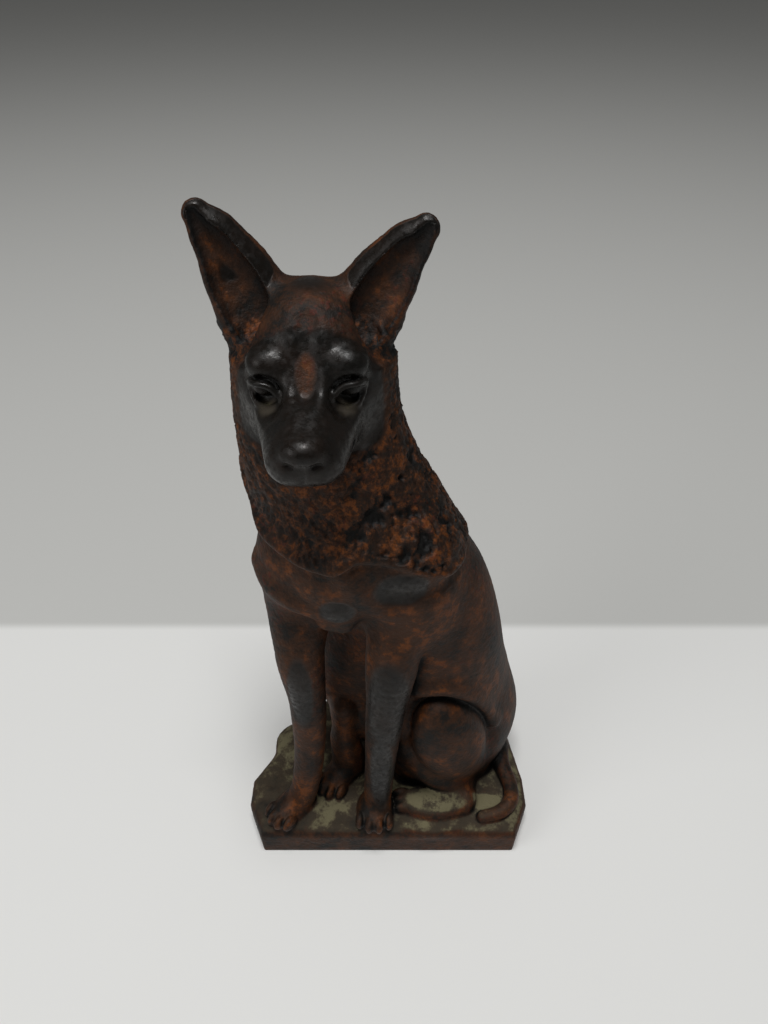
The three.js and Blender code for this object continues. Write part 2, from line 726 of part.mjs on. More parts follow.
// Closed triangle mesh that is thinned one edge at a time, the edge that moves the surface
// least first. Each collapse keeps the surface closed and turns no triangle over.
class ThinningMesh {
  constructor({ positions, index }) {
    this.points = [];
    for (let i = 0; i < positions.length; i += 3) this.points.push(positions.slice(i, i + 3));
    this.faces = [];
    for (let i = 0; i < index.length; i += 3) this.faces.push(index.slice(i, i + 3));
    this.facesAt = this.points.map(() => new Set());
    this.quadrics = new Quadrics(this.points.length);
    this.stamps = new Int32Array(this.points.length);
    this.faces.forEach((face, f) => this.measureFace(face, f));
    this.heap = new Heap();
    for (const [a, b, c] of this.faces) {
      if (a < b) this.offer(a, b);
      if (b < c) this.offer(b, c);
      if (c < a) this.offer(c, a);
    }
  }

  measureFace(face, f) {
    const corners = face.map((v) => this.points[v]);
    const normal = faceNormal(...corners);
    const area = Math.hypot(...normal) / 2;
    const unit = normal.map((n) => n / (2 * area));
    const offset = -(unit[0] * corners[0][0] + unit[1] * corners[0][1] + unit[2] * corners[0][2]);
    for (const vertex of face) {
      this.facesAt[vertex].add(f);
      this.quadrics.addPlane(vertex, unit, offset, area);
      this.quadrics.addPoint(vertex, this.points[vertex], area * 5e-4);
    }
  }

  offer(a, b) {
    const total = this.quadrics.sum(a, b);
    const [p, q] = [this.points[a], this.points[b]];
    const middle = p.map((value, axis) => (value + q[axis]) / 2);
    const reach = 2 * Math.hypot(p[0] - q[0], p[1] - q[1], p[2] - q[2]);
    const best = leastErrorPoint(total);
    const strays = !best || Math.hypot(...best.map((value, axis) => value - middle[axis])) > reach;
    const target = strays ? middle : best;
    const stamp = this.stamps[a] + this.stamps[b];
    this.heap.push({ cost: quadricError(total, target), a, b, target, stamp });
  }

  neighbours(vertex) {
    const found = new Set();
    for (const f of this.facesAt[vertex]) for (const v of this.faces[f]) found.add(v);
    found.delete(vertex);
    return found;
  }

  folds(vertex, other, target) {
    for (const f of this.facesAt[vertex]) {
      const face = this.faces[f];
      if (face.includes(other)) continue;
      const corners = face.map((v) => this.points[v]);
      const before = faceNormal(...corners);
      const after = faceNormal(...face.map((v, i) => (v === vertex ? target : corners[i])));
      const size = Math.hypot(...after);
      const agreement = before[0] * after[0] + before[1] * after[1] + before[2] * after[2];
      if (size < 1e-4 || agreement < 0.3 * Math.hypot(...before) * size) return true;
    }
    return false;
  }

  collapse({ a, b, target }) {
    const around = this.neighbours(a);
    const shared = [...this.neighbours(b)].filter((v) => around.has(v));
    if (shared.length !== 2) return 0;
    if (this.folds(a, b, target) || this.folds(b, a, target)) return 0;
    let removed = 0;
    for (const f of [...this.facesAt[b]]) {
      const face = this.faces[f];
      if (face.includes(a)) {
        for (const v of face) this.facesAt[v].delete(f);
        this.faces[f] = null;
        removed++;
      } else {
        face[face.indexOf(b)] = a;
        this.facesAt[a].add(f);
      }
    }
    this.facesAt[b].clear();
    this.points[a] = target;
    this.quadrics.merge(a, b);
    this.stamps[b] = -1e9;
    this.stamps[a]++;
    for (const v of this.neighbours(a)) this.offer(a, v);
    return removed;
  }

  thin(wanted) {
    let left = this.faces.length;
    while (left > wanted && this.heap.items.length) {
      const edge = this.heap.pop();
      if (this.stamps[edge.a] + this.stamps[edge.b] === edge.stamp) left -= this.collapse(edge);
    }
  }

  // Thinning moves the underside's corners by rounding only, and this takes that out.
  flattenUnderside() {
    for (const p of this.points) if (Math.abs(p[2]) < 1e-3) p[2] = 0;
  }

  geometry() {
    const geometry = new THREE.BufferGeometry();
    geometry.setAttribute("position", new THREE.Float32BufferAttribute(this.points.flat(), 3));
    geometry.setIndex(this.faces.filter(Boolean).flat());
    return mergeVertices(geometry.toNonIndexed(), 1e-5);
  }
}

function faceNormal(a, b, c) {
  const [ux, uy, uz] = [b[0] - a[0], b[1] - a[1], b[2] - a[2]];
  const [vx, vy, vz] = [c[0] - a[0], c[1] - a[1], c[2] - a[2]];
  return [uy * vz - uz * vy, uz * vx - ux * vz, ux * vy - uy * vx];
}

// ---------------------------------------------------------------- solid

const wasm = await Module();
wasm.setup();

function solidOf(geometry) {
  const bare = geometry.clone();
  bare.deleteAttribute("normal");
  bare.deleteAttribute("uv");
  const merged = mergeVertices(bare);
  return new wasm.Manifold(new wasm.Mesh({
    numProp: 3,
    vertProperties: Float32Array.from(merged.attributes.position.array),
    triVerts: Uint32Array.from(merged.index.array),
  }));
}

// Everything above the ground plane, so the underside is one flat face.
function aboveGround() {
  const size = 400;
  return solidOf(new THREE.BoxGeometry(size, size, size).translate(0, 0, size / 2));
}

// The forms may close over a pocket, so only the biggest body's skin above ground is kept.
function outerSkin({ positions, index }) {
  const geometry = new THREE.BufferGeometry();
  geometry.setAttribute("position", new THREE.Float32BufferAttribute(positions, 3));
  geometry.setIndex(index);
  const bodies = solidOf(geometry).intersect(aboveGround()).decompose();
  bodies.sort((a, b) => b.volume() - a.volume());
  const { vertProperties, triVerts } = bodies[0].getMesh();
  return { positions: Array.from(vertProperties), index: Array.from(triVerts) };
}

function castStatue() {
  const field = statueField();
  const { halfWidth, halfDepth } = BASE;
  const box = new THREE.Box3(
    new THREE.Vector3(-halfWidth - 3, -halfDepth - 7, -2.5),
    new THREE.Vector3(halfWidth + 3, halfDepth + 3, 143),
  );
  const net = surfaceNet(field, box, CLAY.step);
  settle(net, field);
  const clay = new ThinningMesh(outerSkin(net));
  clay.thin(CLAY.triangles);
  clay.flattenUnderside();
  const geometry = clay.geometry();
  geometry.computeVertexNormals();
  return geometry;
}

const castIron = new THREE.MeshStandardMaterial({ color: 0x4b2c1e, roughness: 0.45, metalness: 0.6 });

const statue = new THREE.Mesh(castStatue(), castIron);
statue.name = "seated_dog";

const part = new THREE.Group();
part.name = "cast_iron_dog_statue";
part.add(statue);

export default part;
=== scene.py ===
"""Cast iron dog statue: the visual model of the seated shepherd dog on its low base.

The dog and its base are one casting. Its shape is modelled in a clay field in millimetres, every
form a signed distance that melts into its neighbours, and the fine carving that the plain solid
leaves out is added to the same field: lids, nostrils, mouth, toes and the cut fur.
The base's underside is at Z = 0 and the dog looks towards -Y. "Left" and "right" are the dog's own.
"""

import logging
import math
from collections.abc import Callable, Sequence
from dataclasses import dataclass, field, replace
from enum import Enum

import bpy
import numpy as np
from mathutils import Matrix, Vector

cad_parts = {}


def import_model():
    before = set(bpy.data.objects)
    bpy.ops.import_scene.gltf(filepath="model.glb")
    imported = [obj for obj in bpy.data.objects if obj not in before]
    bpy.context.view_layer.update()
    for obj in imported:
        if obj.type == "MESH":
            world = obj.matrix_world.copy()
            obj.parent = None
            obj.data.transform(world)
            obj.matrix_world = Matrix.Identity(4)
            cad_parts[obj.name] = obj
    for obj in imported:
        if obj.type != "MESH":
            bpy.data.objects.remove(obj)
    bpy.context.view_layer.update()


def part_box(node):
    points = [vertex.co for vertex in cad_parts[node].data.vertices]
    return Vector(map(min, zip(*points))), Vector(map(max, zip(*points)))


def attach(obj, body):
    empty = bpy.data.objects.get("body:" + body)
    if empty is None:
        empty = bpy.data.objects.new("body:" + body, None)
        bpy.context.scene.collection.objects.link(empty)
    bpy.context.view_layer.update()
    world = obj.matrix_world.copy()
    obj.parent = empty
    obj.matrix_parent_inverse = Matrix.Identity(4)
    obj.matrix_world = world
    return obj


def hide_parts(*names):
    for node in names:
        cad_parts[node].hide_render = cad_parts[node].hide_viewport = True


log = logging.getLogger("dog_statue")

MM = 0.001  # metres in a millimetre
FAR = 8.0  # mm from a form past which its seam cuts nothing
SEAM = 1.3  # width of a seam's valley, mm
GROUND = 8.0  # height of the base's top, mm
Array = np.ndarray


# ---------------------------------------------------------------- frames


@dataclass(frozen=True)
class Stance:
    """An origin and the three axes of a body standing there: ahead, left and up, in millimetres."""

    origin: Array
    ahead: Array
    left: Array
    up: Array

    @staticmethod
    def at(x: float, y: float, z: float, turn: float = 0.0, pitch: float = 0.0) -> "Stance":
        """Places a stance at a point.

        Args:
            x, y, z: The origin.
            turn: Degrees about +Z from facing -Y, positive towards the dog's right.
            pitch: Degrees that the front is lifted.

        Returns:
            The stance.
        """
        angle = math.radians(turn)
        ahead = np.array([-math.sin(angle), -math.cos(angle), 0.0])
        left = np.array([math.cos(angle), -math.sin(angle), 0.0])
        return Stance(np.array([x, y, z], float), ahead, left, np.array([0.0, 0.0, 1.0])).pitched(pitch)

    def pitched(self, degrees: float) -> "Stance":
        """Returns this stance with its front lifted by so many degrees."""
        c, s = math.cos(math.radians(degrees)), math.sin(math.radians(degrees))
        return replace(self, ahead=c * self.ahead + s * self.up, up=c * self.up - s * self.ahead)

    def moved(self, ahead: float, left: float, up: float, pitch: float = 0.0) -> "Stance":
        """Returns this stance moved along its own axes, then pitched."""
        origin = self.origin + ahead * self.ahead + left * self.left + up * self.up
        return replace(self, origin=origin).pitched(pitch)

    def local(self, points: Array) -> tuple[Array, Array, Array]:
        """Returns the points' coordinates ahead, left and up in this stance."""
        offset = points - self.origin.astype(points.dtype)
        axes = (self.ahead, self.left, self.up)
        return tuple(offset @ axis.astype(points.dtype) for axis in axes)


# ---------------------------------------------------------------- forms


def smooth_step(t: Array) -> Array:
    """Returns the eased 0 to 1 ramp of t."""
    c = np.clip(t, 0.0, 1.0)
    return c * c * (3.0 - 2.0 * c)


def smooth_curve(xs: Sequence[float], ys: Sequence[float]) -> Callable[[Array], Array]:
    """Makes the cubic curve through (xs, ys) whose slope at each point follows its neighbours."""
    xa, ya = np.asarray(xs, float), np.asarray(ys, float)
    last = len(xa) - 1
    before = np.maximum(np.arange(last + 1) - 1, 0)
    after = np.minimum(np.arange(last + 1) + 1, last)
    slopes = (ya[after] - ya[before]) / (xa[after] - xa[before])

    def value(x: Array) -> Array:
        """Returns the curve's height at x."""
        i = np.clip(np.searchsorted(xa, x, side="right") - 1, 0, last - 1)
        width = xa[i + 1] - xa[i]
        t = np.clip((x - xa[i]) / width, 0.0, 1.0)
        mix = smooth_step(t)
        rise = t * (1 - t) * width * ((1 - t) * slopes[i] - t * slopes[i + 1])
        return ya[i] * (1 - mix) + ya[i + 1] * mix + rise

    return value


class Form:
    """A shape given by its signed distance, negative inside, with the box that holds it."""

    low: Array
    high: Array

    def distance(self, points: Array) -> Array:
        """Returns the signed distance at each point."""
        raise NotImplementedError


class Egg(Form):
    """Ellipsoid with half axes along a stance's ahead, left and up."""

    def __init__(self, stance: Stance, ahead: float, left: float, up: float) -> None:
        """Takes the stance at its middle and its three half axes."""
        self.stance, self.radii = stance, (ahead, left, up)
        spread = sum((r * axis) ** 2 for r, axis in zip(self.radii, (stance.ahead, stance.left, stance.up)))
        self.low, self.high = stance.origin - np.sqrt(spread), stance.origin + np.sqrt(spread)

    def distance(self, points: Array) -> Array:
        """Returns the ellipsoid's distance by its implicit value over its slope."""
        parts = self.stance.local(points)
        reach = np.sqrt(sum((c / r) ** 2 for c, r in zip(parts, self.radii)))
        slope = np.sqrt(sum((c / r**2) ** 2 for c, r in zip(parts, self.radii)))
        return np.where(slope < 1e-9, -min(self.radii), reach * (reach - 1) / np.maximum(slope, 1e-9))


@dataclass(frozen=True)
class Station:
    """A point on a limb's centre line and the limb's radius there."""

    at: tuple[float, float, float]
    r: float


def centripetal_points(points: Array, shares: Array) -> Array:
    """Runs a centripetal Catmull-Rom curve through points.

    Args:
        points: The stations, one row each.
        shares: Where along the stations to read it, 0 at the first and 1 at the last.

    Returns:
        One point for each share.
    """
    last = len(points) - 1
    padded = np.vstack([2 * points[0] - points[1], points, 2 * points[-1] - points[-2]])
    out = []
    for share in shares:
        i = min(int(share * last + 1e-9), last - 1)
        w = share * last - i
        p0, p1, p2, p3 = padded[i : i + 4]
        pairs = ((p0, p1), (p1, p2), (p2, p3))
        d0, d1, d2 = (max(float(((b - a) ** 2).sum()) ** 0.25, 1e-4) for a, b in pairs)
        t1 = ((p1 - p0) / d0 - (p2 - p0) / (d0 + d1) + (p2 - p1) / d1) * d1
        t2 = ((p2 - p1) / d1 - (p3 - p1) / (d1 + d2) + (p3 - p2) / d2) * d1
        c2 = -3 * p1 + 3 * p2 - 2 * t1 - t2
        c3 = 2 * p1 - 2 * p2 + t1 + t2
        out.append(p1 + w * (t1 + w * (c2 + w * c3)))
    return np.array(out)


class Limb(Form):
    """Round limb along a smooth curve through its stations, its thickness eased between them."""

    def __init__(self, stations: Sequence[Station], pieces: int = 8) -> None:
        """Takes the stations and how many straight pieces each span is made of."""
        spans = len(stations) - 1
        steps = np.arange(spans * pieces + 1)
        span = np.minimum(steps // pieces, spans - 1)
        t = steps / pieces - span
        ease = 0.5 * (t + smooth_step(t))
        radii = np.array([s.r for s in stations])
        self.r = radii[span] + (radii[span + 1] - radii[span]) * ease
        self.p = centripetal_points(np.array([s.at for s in stations], float), steps / (spans * pieces))
        self.low = (self.p - self.r[:, None]).min(axis=0)
        self.high = (self.p + self.r[:, None]).max(axis=0)

    def distance(self, points: Array) -> Array:
        """Returns the distance to the nearest of the limb's tapered capsules."""
        nearest = np.full(len(points), np.inf, points.dtype)
        p, r = self.p.astype(points.dtype), self.r.astype(points.dtype)
        for i in range(1, len(p)):
            run = p[i] - p[i - 1]
            offset = points - p[i - 1]
            t = np.clip(offset @ run / float(run @ run), 0.0, 1.0)
            gap = offset - t[:, None] * run
            reach = np.sqrt(np.einsum("ij,ij->i", gap, gap)) - (r[i - 1] + t * (r[i] - r[i - 1]))
            np.minimum(nearest, reach, out=nearest)
        return nearest


@dataclass(frozen=True)
class Section:
    """A level section of the trunk: height, centre, half sizes along and across, and turn."""

    z: float
    x: float
    y: float
    along: float
    across: float
    turn: float


class Stack(Form):
    """Upright body of elliptical sections, each value a smooth curve through the sections."""

    STEP = 0.05

    def __init__(self, sections: Sequence[Section]) -> None:
        """Takes the sections from the lowest to the highest."""
        heights = [s.z for s in sections]
        self.bottom, self.top = heights[0], heights[-1]
        levels = np.arange(round(self.bottom / self.STEP), round(self.top / self.STEP) + 1) * self.STEP
        read = {n: smooth_curve(heights, [getattr(s, n) for s in sections])(levels) for n in
                ("x", "y", "along", "across", "turn")}
        self.x, self.y, self.along, self.across = (read[n] for n in ("x", "y", "along", "across"))
        self.aim = -np.sin(np.radians(read["turn"])), -np.cos(np.radians(read["turn"]))
        reach = np.maximum(self.along, self.across)
        self.low = np.array([(self.x - reach).min(), (self.y - reach).min(), self.bottom])
        self.high = np.array([(self.x + reach).max(), (self.y + reach).max(), self.top])

    def distance(self, points: Array) -> Array:
        """Returns the distance to the section at each point's height."""
        x, y, z = points.T
        level = np.rint((np.clip(z, self.bottom, self.top) - self.bottom) / self.STEP).astype(int)
        dx, dy = x - self.x[level], y - self.y[level]
        ax, ay = self.aim[0][level], self.aim[1][level]
        a, b = dx * ax + dy * ay, dy * ax - dx * ay
        along, across = self.along[level], self.across[level]
        reach = np.hypot(a / along, b / across)
        slope = np.hypot(a / along**2, b / across**2)
        side = np.where(slope < 1e-9, -along, 0.93 * reach * (reach - 1) / np.maximum(slope, 1e-9))
        end = np.maximum(self.bottom - z, z - self.top)
        away = np.where(end > 0, np.hypot(np.maximum(side, 0), end), np.maximum(side, end))
        return away.astype(points.dtype)


@dataclass
class TaperedBlock(Form):
    """Tapered block with rounded edges along a stance's ahead axis; pairs run from back to front."""

    stance: Stance
    ends: tuple[float, float]
    half_width: tuple[float, float]
    half_height: tuple[float, float]
    lift: tuple[float, float]
    rounding: float

    def __post_init__(self) -> None:
        """Works out the box that holds the block."""
        reach = max(abs(self.ends[0]), abs(self.ends[1])) + max(self.half_width) + max(self.half_height)
        self.low, self.high = self.stance.origin - reach, self.stance.origin + reach

    def distance(self, points: Array) -> Array:
        """Returns the distance to the rounded block."""
        a, b, c = self.stance.local(points)
        start, stop = self.ends
        t = np.clip((a - start) / (stop - start), 0, 1)
        between = lambda pair: pair[0] + (pair[1] - pair[0]) * t
        end = np.abs(a - (start + stop) / 2) - (stop - start) / 2 + self.rounding
        side = np.abs(b) - between(self.half_width) + self.rounding
        face = np.abs(c - between(self.lift)) - between(self.half_height) + self.rounding
        outside = np.sqrt(sum(np.maximum(part, 0) ** 2 for part in (end, side, face)))
        return outside + np.minimum(np.maximum(np.maximum(end, side), face), 0) - self.rounding


@dataclass(frozen=True)
class HornStation:
    """Where a horn is so thick: its share of the length, shift to the inner edge, and radius."""

    share: float
    shift: float
    r: float


class Horn(Form):
    """A limb in an ear's own stance, flattened front to back."""

    def __init__(self, stance: Stance, length: float, flatness: float, stations: Sequence[HornStation]) -> None:
        """Takes the stance at its root, its length and how flat it is, with its stations."""
        self.stance, self.flatness = stance, flatness
        self.limb = Limb([Station((0, s.shift, s.share * length), s.r) for s in stations], 6)
        reach = length + max(s.r for s in stations)
        self.low, self.high = stance.origin - reach, stance.origin + reach

    def distance(self, points: Array) -> Array:
        """Returns the distance to the flattened limb."""
        a, b, c = self.stance.local(points)
        return self.limb.distance(np.stack([a / self.flatness, b, c], axis=1)) * self.flatness


# ---------------------------------------------------------------- clay


class Way(Enum):
    """How a form meets the clay that is there already."""

    ADD = "add"
    PRESS = "press"


@dataclass
class Stroke:
    """One step of the modelling: a form, its blend width and the valley along its joint."""

    form: Form
    width: float
    way: Way
    seam: Callable[[Array], Array] | None = None


def blend(a: Array, b: Array, width: float) -> Array:
    """Returns the smooth smaller of two distances."""
    overlap = np.maximum(width - np.abs(a - b), 0) / width
    return np.minimum(a, b) - overlap * overlap * width * 0.25


@dataclass
class Clay:
    """The modelled clay: forms added and pressed in order, read as one signed distance."""

    strokes: list[Stroke] = field(default_factory=list)

    def add(self, form: Form, width: float, seam: Callable[[Array], Array] | None = None) -> None:
        """Adds a form, its joint filled over the blend width and cut by the seam's depth."""
        self.strokes.append(Stroke(form, width, Way.ADD, seam))

    def press(self, form: Form, width: float) -> None:
        """Presses a form's shape out of what is there already."""
        self.strokes.append(Stroke(form, width, Way.PRESS))

    def distance(self, points: Array) -> Array:
        """Returns the clay's signed distance at points near its surface."""
        d = np.full(len(points), 1e6, points.dtype)
        for stroke in self.strokes:
            form = stroke.form
            margin = stroke.width + 4.5
            near = np.all((points > form.low - margin) & (points < form.high + margin), axis=1)
            if not near.any():
                continue
            here, p = d[near], points[near]
            f = form.distance(p).astype(points.dtype)
            valley = 0.0
            if stroke.seam is not None:
                valley = np.where(np.abs(f) < FAR, stroke.seam(p) * np.exp(-(((f - here) / SEAM) ** 2)), 0)
            if stroke.way is Way.ADD:
                here = np.where(f < here + stroke.width, blend(here, f, stroke.width), here)
            else:
                here = np.where(-f > here - stroke.width, -blend(-here, f, stroke.width), here)
            d[near] = here + valley
        return d


# ---------------------------------------------------------------- the base


class BasePlan(Form):
    """The base's block: a straight-sided plan with a little batter and a rounded top edge."""

    def __init__(self, plan: Array, height: float, edge_round: float, batter: float) -> None:
        """Takes the plan's corners in order, the height, the edge's rounding and the batter."""
        self.plan, self.height, self.edge_round, self.batter = plan, height, edge_round, batter
        self.low = np.array([*plan.min(axis=0), -2.0])
        self.high = np.array([*plan.max(axis=0), height])

    def plan_distance(self, x: Array, y: Array) -> Array:
        """Returns the level distance to the plan's outline, negative inside."""
        nearest = np.full(len(x), np.inf, x.dtype)
        inside = np.zeros(len(x), bool)
        for (ax, ay), (bx, by) in zip(self.plan, np.roll(self.plan, -1, axis=0)):
            ex, ey = bx - ax, by - ay
            t = np.clip(((x - ax) * ex + (y - ay) * ey) / (ex * ex + ey * ey), 0, 1)
            np.minimum(nearest, np.hypot(x - ax - t * ex, y - ay - t * ey), out=nearest)
            if ay != by:
                inside ^= ((ay > y) != (by > y)) & (x < ex * (y - ay) / ey + ax)
        return np.where(inside, -nearest, nearest)

    def distance(self, points: Array) -> Array:
        """Returns the distance to the block, which runs on below the underside."""
        x, y, z = points.T
        above = z - self.height
        side = self.plan_distance(x, y) - self.batter * above + self.edge_round
        top = above + self.edge_round
        outside = np.hypot(np.maximum(side, 0), np.maximum(top, 0))
        return outside + np.minimum(np.maximum(side, top), 0) - self.edge_round


@dataclass(frozen=True)
class Base:
    """The low base: straight along the front, with cut front corners, narrowing to the back."""

    half_width: float = 32.5
    half_depth: float = 22.5
    height: float = GROUND
    edge_round: float = 2.4
    batter: float = 0.04
    mounds: tuple[tuple[float, float, float], ...] = (
        (-21.5, -14.5, 7.5), (-11, -12.5, 6.5), (-3, -15.5, 6), (10, -16, 8), (22.5, -14, 6.5), (-20, 2, 8),
    )

    def model(self, clay: Clay) -> None:
        """Puts the base down and the low mounds of rough ground on it."""
        w, d = self.half_width, self.half_depth
        front = [(-w + 3.6, -d), (w - 3.6, -d), (w, -d + 8), (w, -d + 14.5)]
        back = [(w - 2, 4), (w - 5, 14.5), (w - 13.5, d - 1), (-3, d), (-14, d - 4)]
        left = [(-w + 8, 5), (-w, -d + 14), (-w, -d + 8)]
        plan = np.array(front + back + left)
        clay.add(BasePlan(plan, self.height, self.edge_round, self.batter), 0.01)
        for x, y, reach in self.mounds:
            clay.add(Egg(Stance.at(x, y, self.height - 0.7), 0.8 * reach, reach, 1.9), 2)


# ---------------------------------------------------------------- the dog


@dataclass(frozen=True)
class Trunk:
    """The body from the seat to the crown of the neck, with belly, chest and shoulders."""

    hips_turn: float = 50.0
    chest_turn: float = 12.0
    sections: tuple[Section, ...] = (
        Section(GROUND, 12.5, 3, 15.5, 13.5, 50),
        Section(20, 12.5, 2.6, 17.5, 14.5, 50),
        Section(32, 12, 2.4, 17.5, 14.8, 48),
        Section(45, 9.2, 2.6, 15.5, 16.6, 40),
        Section(58, 5.4, 1.6, 14.5, 18.2, 30),
        Section(70, 1.8, 0.6, 15, 17.6, 24),
        Section(80, -3.2, -1, 14.5, 16.6, 18),
        Section(90, -7.7, -2.4, 12.8, 16, 8),
        Section(100, -10.8, -2.8, 11.6, 13.7, 0),
        Section(109, -12.1, -2.6, 10.6, 13.4, 0),
        Section(117, -12, -3, 9, 12.8, 0),
    )
    right_fold: tuple[tuple[float, float, float], ...] = (
        (-23.2, -8.6, 78.5), (-20.6, -13.2, 76.6), (-17, -15.6, 74.8), (-13.2, -16, 73.6),
    )
    left_fold: tuple[tuple[float, float, float], ...] = (
        (-8.3, -18.2, 84), (-5.6, -17.9, 79.6), (-3, -17, 75.6), (-0.6, -16.4, 72.6),
    )

    @staticmethod
    def shoulder_seam(points: Array) -> Array:
        """Returns the depth of the crease below the left shoulder, none above its middle."""
        return 0.8 * smooth_step((82 - points[:, 2]) / 6)

    def model(self, clay: Clay) -> None:
        """Models the trunk."""
        clay.add(Stack(self.sections), 3)
        clay.add(Egg(Stance.at(-7.4, 2.3, 46, 35), 9.6, 12.6, 19), 5)
        clay.add(Egg(Stance.at(-9, -5.8, 80, self.chest_turn), 13.6, 14.2, 15), 4)
        breast = Stance.at(-9.2, -11.5, 72, self.chest_turn)
        clay.add(TaperedBlock(breast, (-4, 5.6), (4.2, 3.6), (5.6, 5.2), (0, 0), 2.2), 2)
        clay.add(Egg(Stance.at(-9.1, -15.4, 74.5, self.chest_turn), 3.6, 3.9, 4.2), 1.6)
        clay.add(Egg(Stance.at(-17.6, -6.5, 75, 20), 8, 6.2, 14), 4)
        clay.add(Egg(Stance.at(4.2, -8.8, 73, 5), 8.5, 7.8, 15), 4)
        clay.add(Egg(Stance.at(3, -10.6, 81.5, -12), 7, 8.8, 9), 1.4, self.shoulder_seam)
        for fold, r in ((self.right_fold, 1.6), (self.left_fold, 1.0)):
            clay.add(Limb([Station(at, r) for at in fold]), 2.6)


@dataclass(frozen=True)
class Paw:
    """A foot on the base: its stance's place and turn, half axes and the spread of its toes."""

    x: float
    y: float
    turn: float
    size: tuple[float, float, float]
    toe: float
    toes: int = 4

    def model(self, clay: Clay) -> None:
        """Models the foot's pad and its toes, each a small egg set beside the next."""
        stance = Stance.at(self.x, self.y, GROUND + 1.6, self.turn)
        length, width, rise = self.size
        clay.add(Egg(stance, *self.size), 1.5)
        for i in range(self.toes):
            share = 2 * i / (self.toes - 1) - 1
            ahead = length * (0.78 - 0.22 * share * share)
            knuckle = stance.moved(ahead, share * width * 0.86, 0.05 * rise)
            clay.add(Egg(knuckle, 1.9 * self.toe, self.toe, rise * 0.72), 0.4)


@dataclass(frozen=True)
class Forelegs:
    """The two straight forelegs and their feet."""

    left: tuple[Station, ...] = (
        Station((3, -9, 68), 7.2),
        Station((0.9, -13.2, 58), 5.5),
        Station((-0.6, -15.3, 44), 4.1),
        Station((-1.8, -15.9, 26), 3.3),
        Station((-2.4, -16, 14), 3.1),
        Station((-2.7, -16.3, 10), 3.2),
    )
    right: tuple[Station, ...] = (
        Station((-17, -8, 68), 6.6),
        Station((-17.5, -12.3, 58), 4.9),
        Station((-16.7, -13.6, 44), 3.8),
        Station((-17.3, -14, 27), 3.3),
        Station((-18.9, -14.6, 15), 3.1),
        Station((-20.4, -15, 10), 3.2),
    )

    @staticmethod
    def seam(points: Array) -> Array:
        """Returns the depth of the crease where a leg lies against the belly and flank."""
        z = points[:, 2]
        return 0.7 * smooth_step((z - 22) / 8) * smooth_step((63 - z) / 8)

    def model(self, clay: Clay) -> None:
        """Models both legs, then both feet."""
        clay.add(Limb(self.right), 1.6, self.seam)
        clay.add(Limb(self.left), 1.6, self.seam)
        Paw(-22.6, -16.9, 38, (5.4, 3.3, 2.6), 1.05).model(clay)
        Paw(-3, -17.6, 3, (5, 3.8, 2.6), 1.05).model(clay)


@dataclass(frozen=True)
class Hindquarters:
    """Haunches, thighs, hind feet and the tail that lies round the dog's left side."""

    x: float = 8.5
    y: float = -0.5
    z: float = 24.0
    turn: float = 50.0
    thigh_pitch: float = 73.0
    right_shank: tuple[Station, ...] = (
        Station((-9.6, -5.2, 33), 4.2),
        Station((-9.6, -5.2, 22), 4),
        Station((-9.4, -5.8, 10), 3.9),
    )
    left_shank: tuple[Station, ...] = (
        Station((5.2, -10.2, 26), 3.3),
        Station((11, -11.6, 16), 3.6),
        Station((16, -12, 10), 3.8),
    )
    left_foot: tuple[Station, ...] = (
        Station((17, -15, 9.3), 3.4),
        Station((11, -16.4, 9.4), 3.7),
        Station((6.2, -15.8, 9.3), 3.2),
        Station((4, -14.8, 9), 2.2),
    )
    flank_fold: tuple[Station, ...] = (
        Station((6.5, -12.2, 46.5), 1.5),
        Station((12, -12.4, 47.2), 1.7),
        Station((16.4, -11, 43), 1.7),
        Station((20.2, -9, 36), 1.5),
        Station((22.8, -7.6, 29), 1.2),
    )
    tail: tuple[Station, ...] = (
        Station((18, 13.5, 12.5), 4.6),
        Station((24.6, 8.6, 10.8), 3.2),
        Station((27.2, 1, 9.8), 2.3),
        Station((27.4, -6, 9.8), 1.9),
        Station((28.7, -12, 9.8), 1.7),
        Station((28.2, -15.6, 9.8), 1.7),
        Station((25.6, -18, 9.4), 1.6),
        Station((21.5, -19, 8.9), 1.3),
    )

    @staticmethod
    def thigh_seam(points: Array) -> Array:
        """Returns the depth of the crease over the thigh, which fades towards the hock."""
        return 1.4 * smooth_step((points[:, 2] - 16) / 10)

    @staticmethod
    def knee_seam(points: Array) -> Array:
        """Returns the depth of the crease round the right knee."""
        return np.full(len(points), 0.9, points.dtype)

    def model(self, clay: Clay) -> None:
        """Models the hindquarters from the haunch outwards."""
        hips = Stance.at(self.x, self.y, self.z, self.turn)
        clay.add(Egg(hips.moved(-6.5, 6.6, -4), 14.5, 8.8, 14.5), 5)
        clay.add(Limb(self.flank_fold), 3)
        thigh = hips.moved(1.2, 9.4, 3, self.thigh_pitch)
        clay.add(Egg(thigh, 18.6, 8.6, 9.8), 1.0, self.thigh_seam)
        clay.add(Egg(hips.moved(2, -9, 2, 38), 20, 8.4, 16), 3)
        clay.add(Egg(Stance.at(-11.5, 0, 38), 6, 4.5, 9), 3)
        clay.add(Limb(self.right_shank), 1.0, self.knee_seam)
        Paw(-12, -9, 30, (5.6, 3.6, 2.8), 1.05).model(clay)
        clay.add(Limb(self.left_shank), 2)
        clay.add(Limb(self.left_foot), 1.0)
        for left in (-1.9, 0, 1.9):
            toe = Stance.at(3.6, -15.2, GROUND + 1.3, 82).moved(0.4, left, 0)
            clay.add(Egg(toe, 2.2, 1.05, 1.9), 0.4)
        clay.add(Limb(self.tail), 0.8)


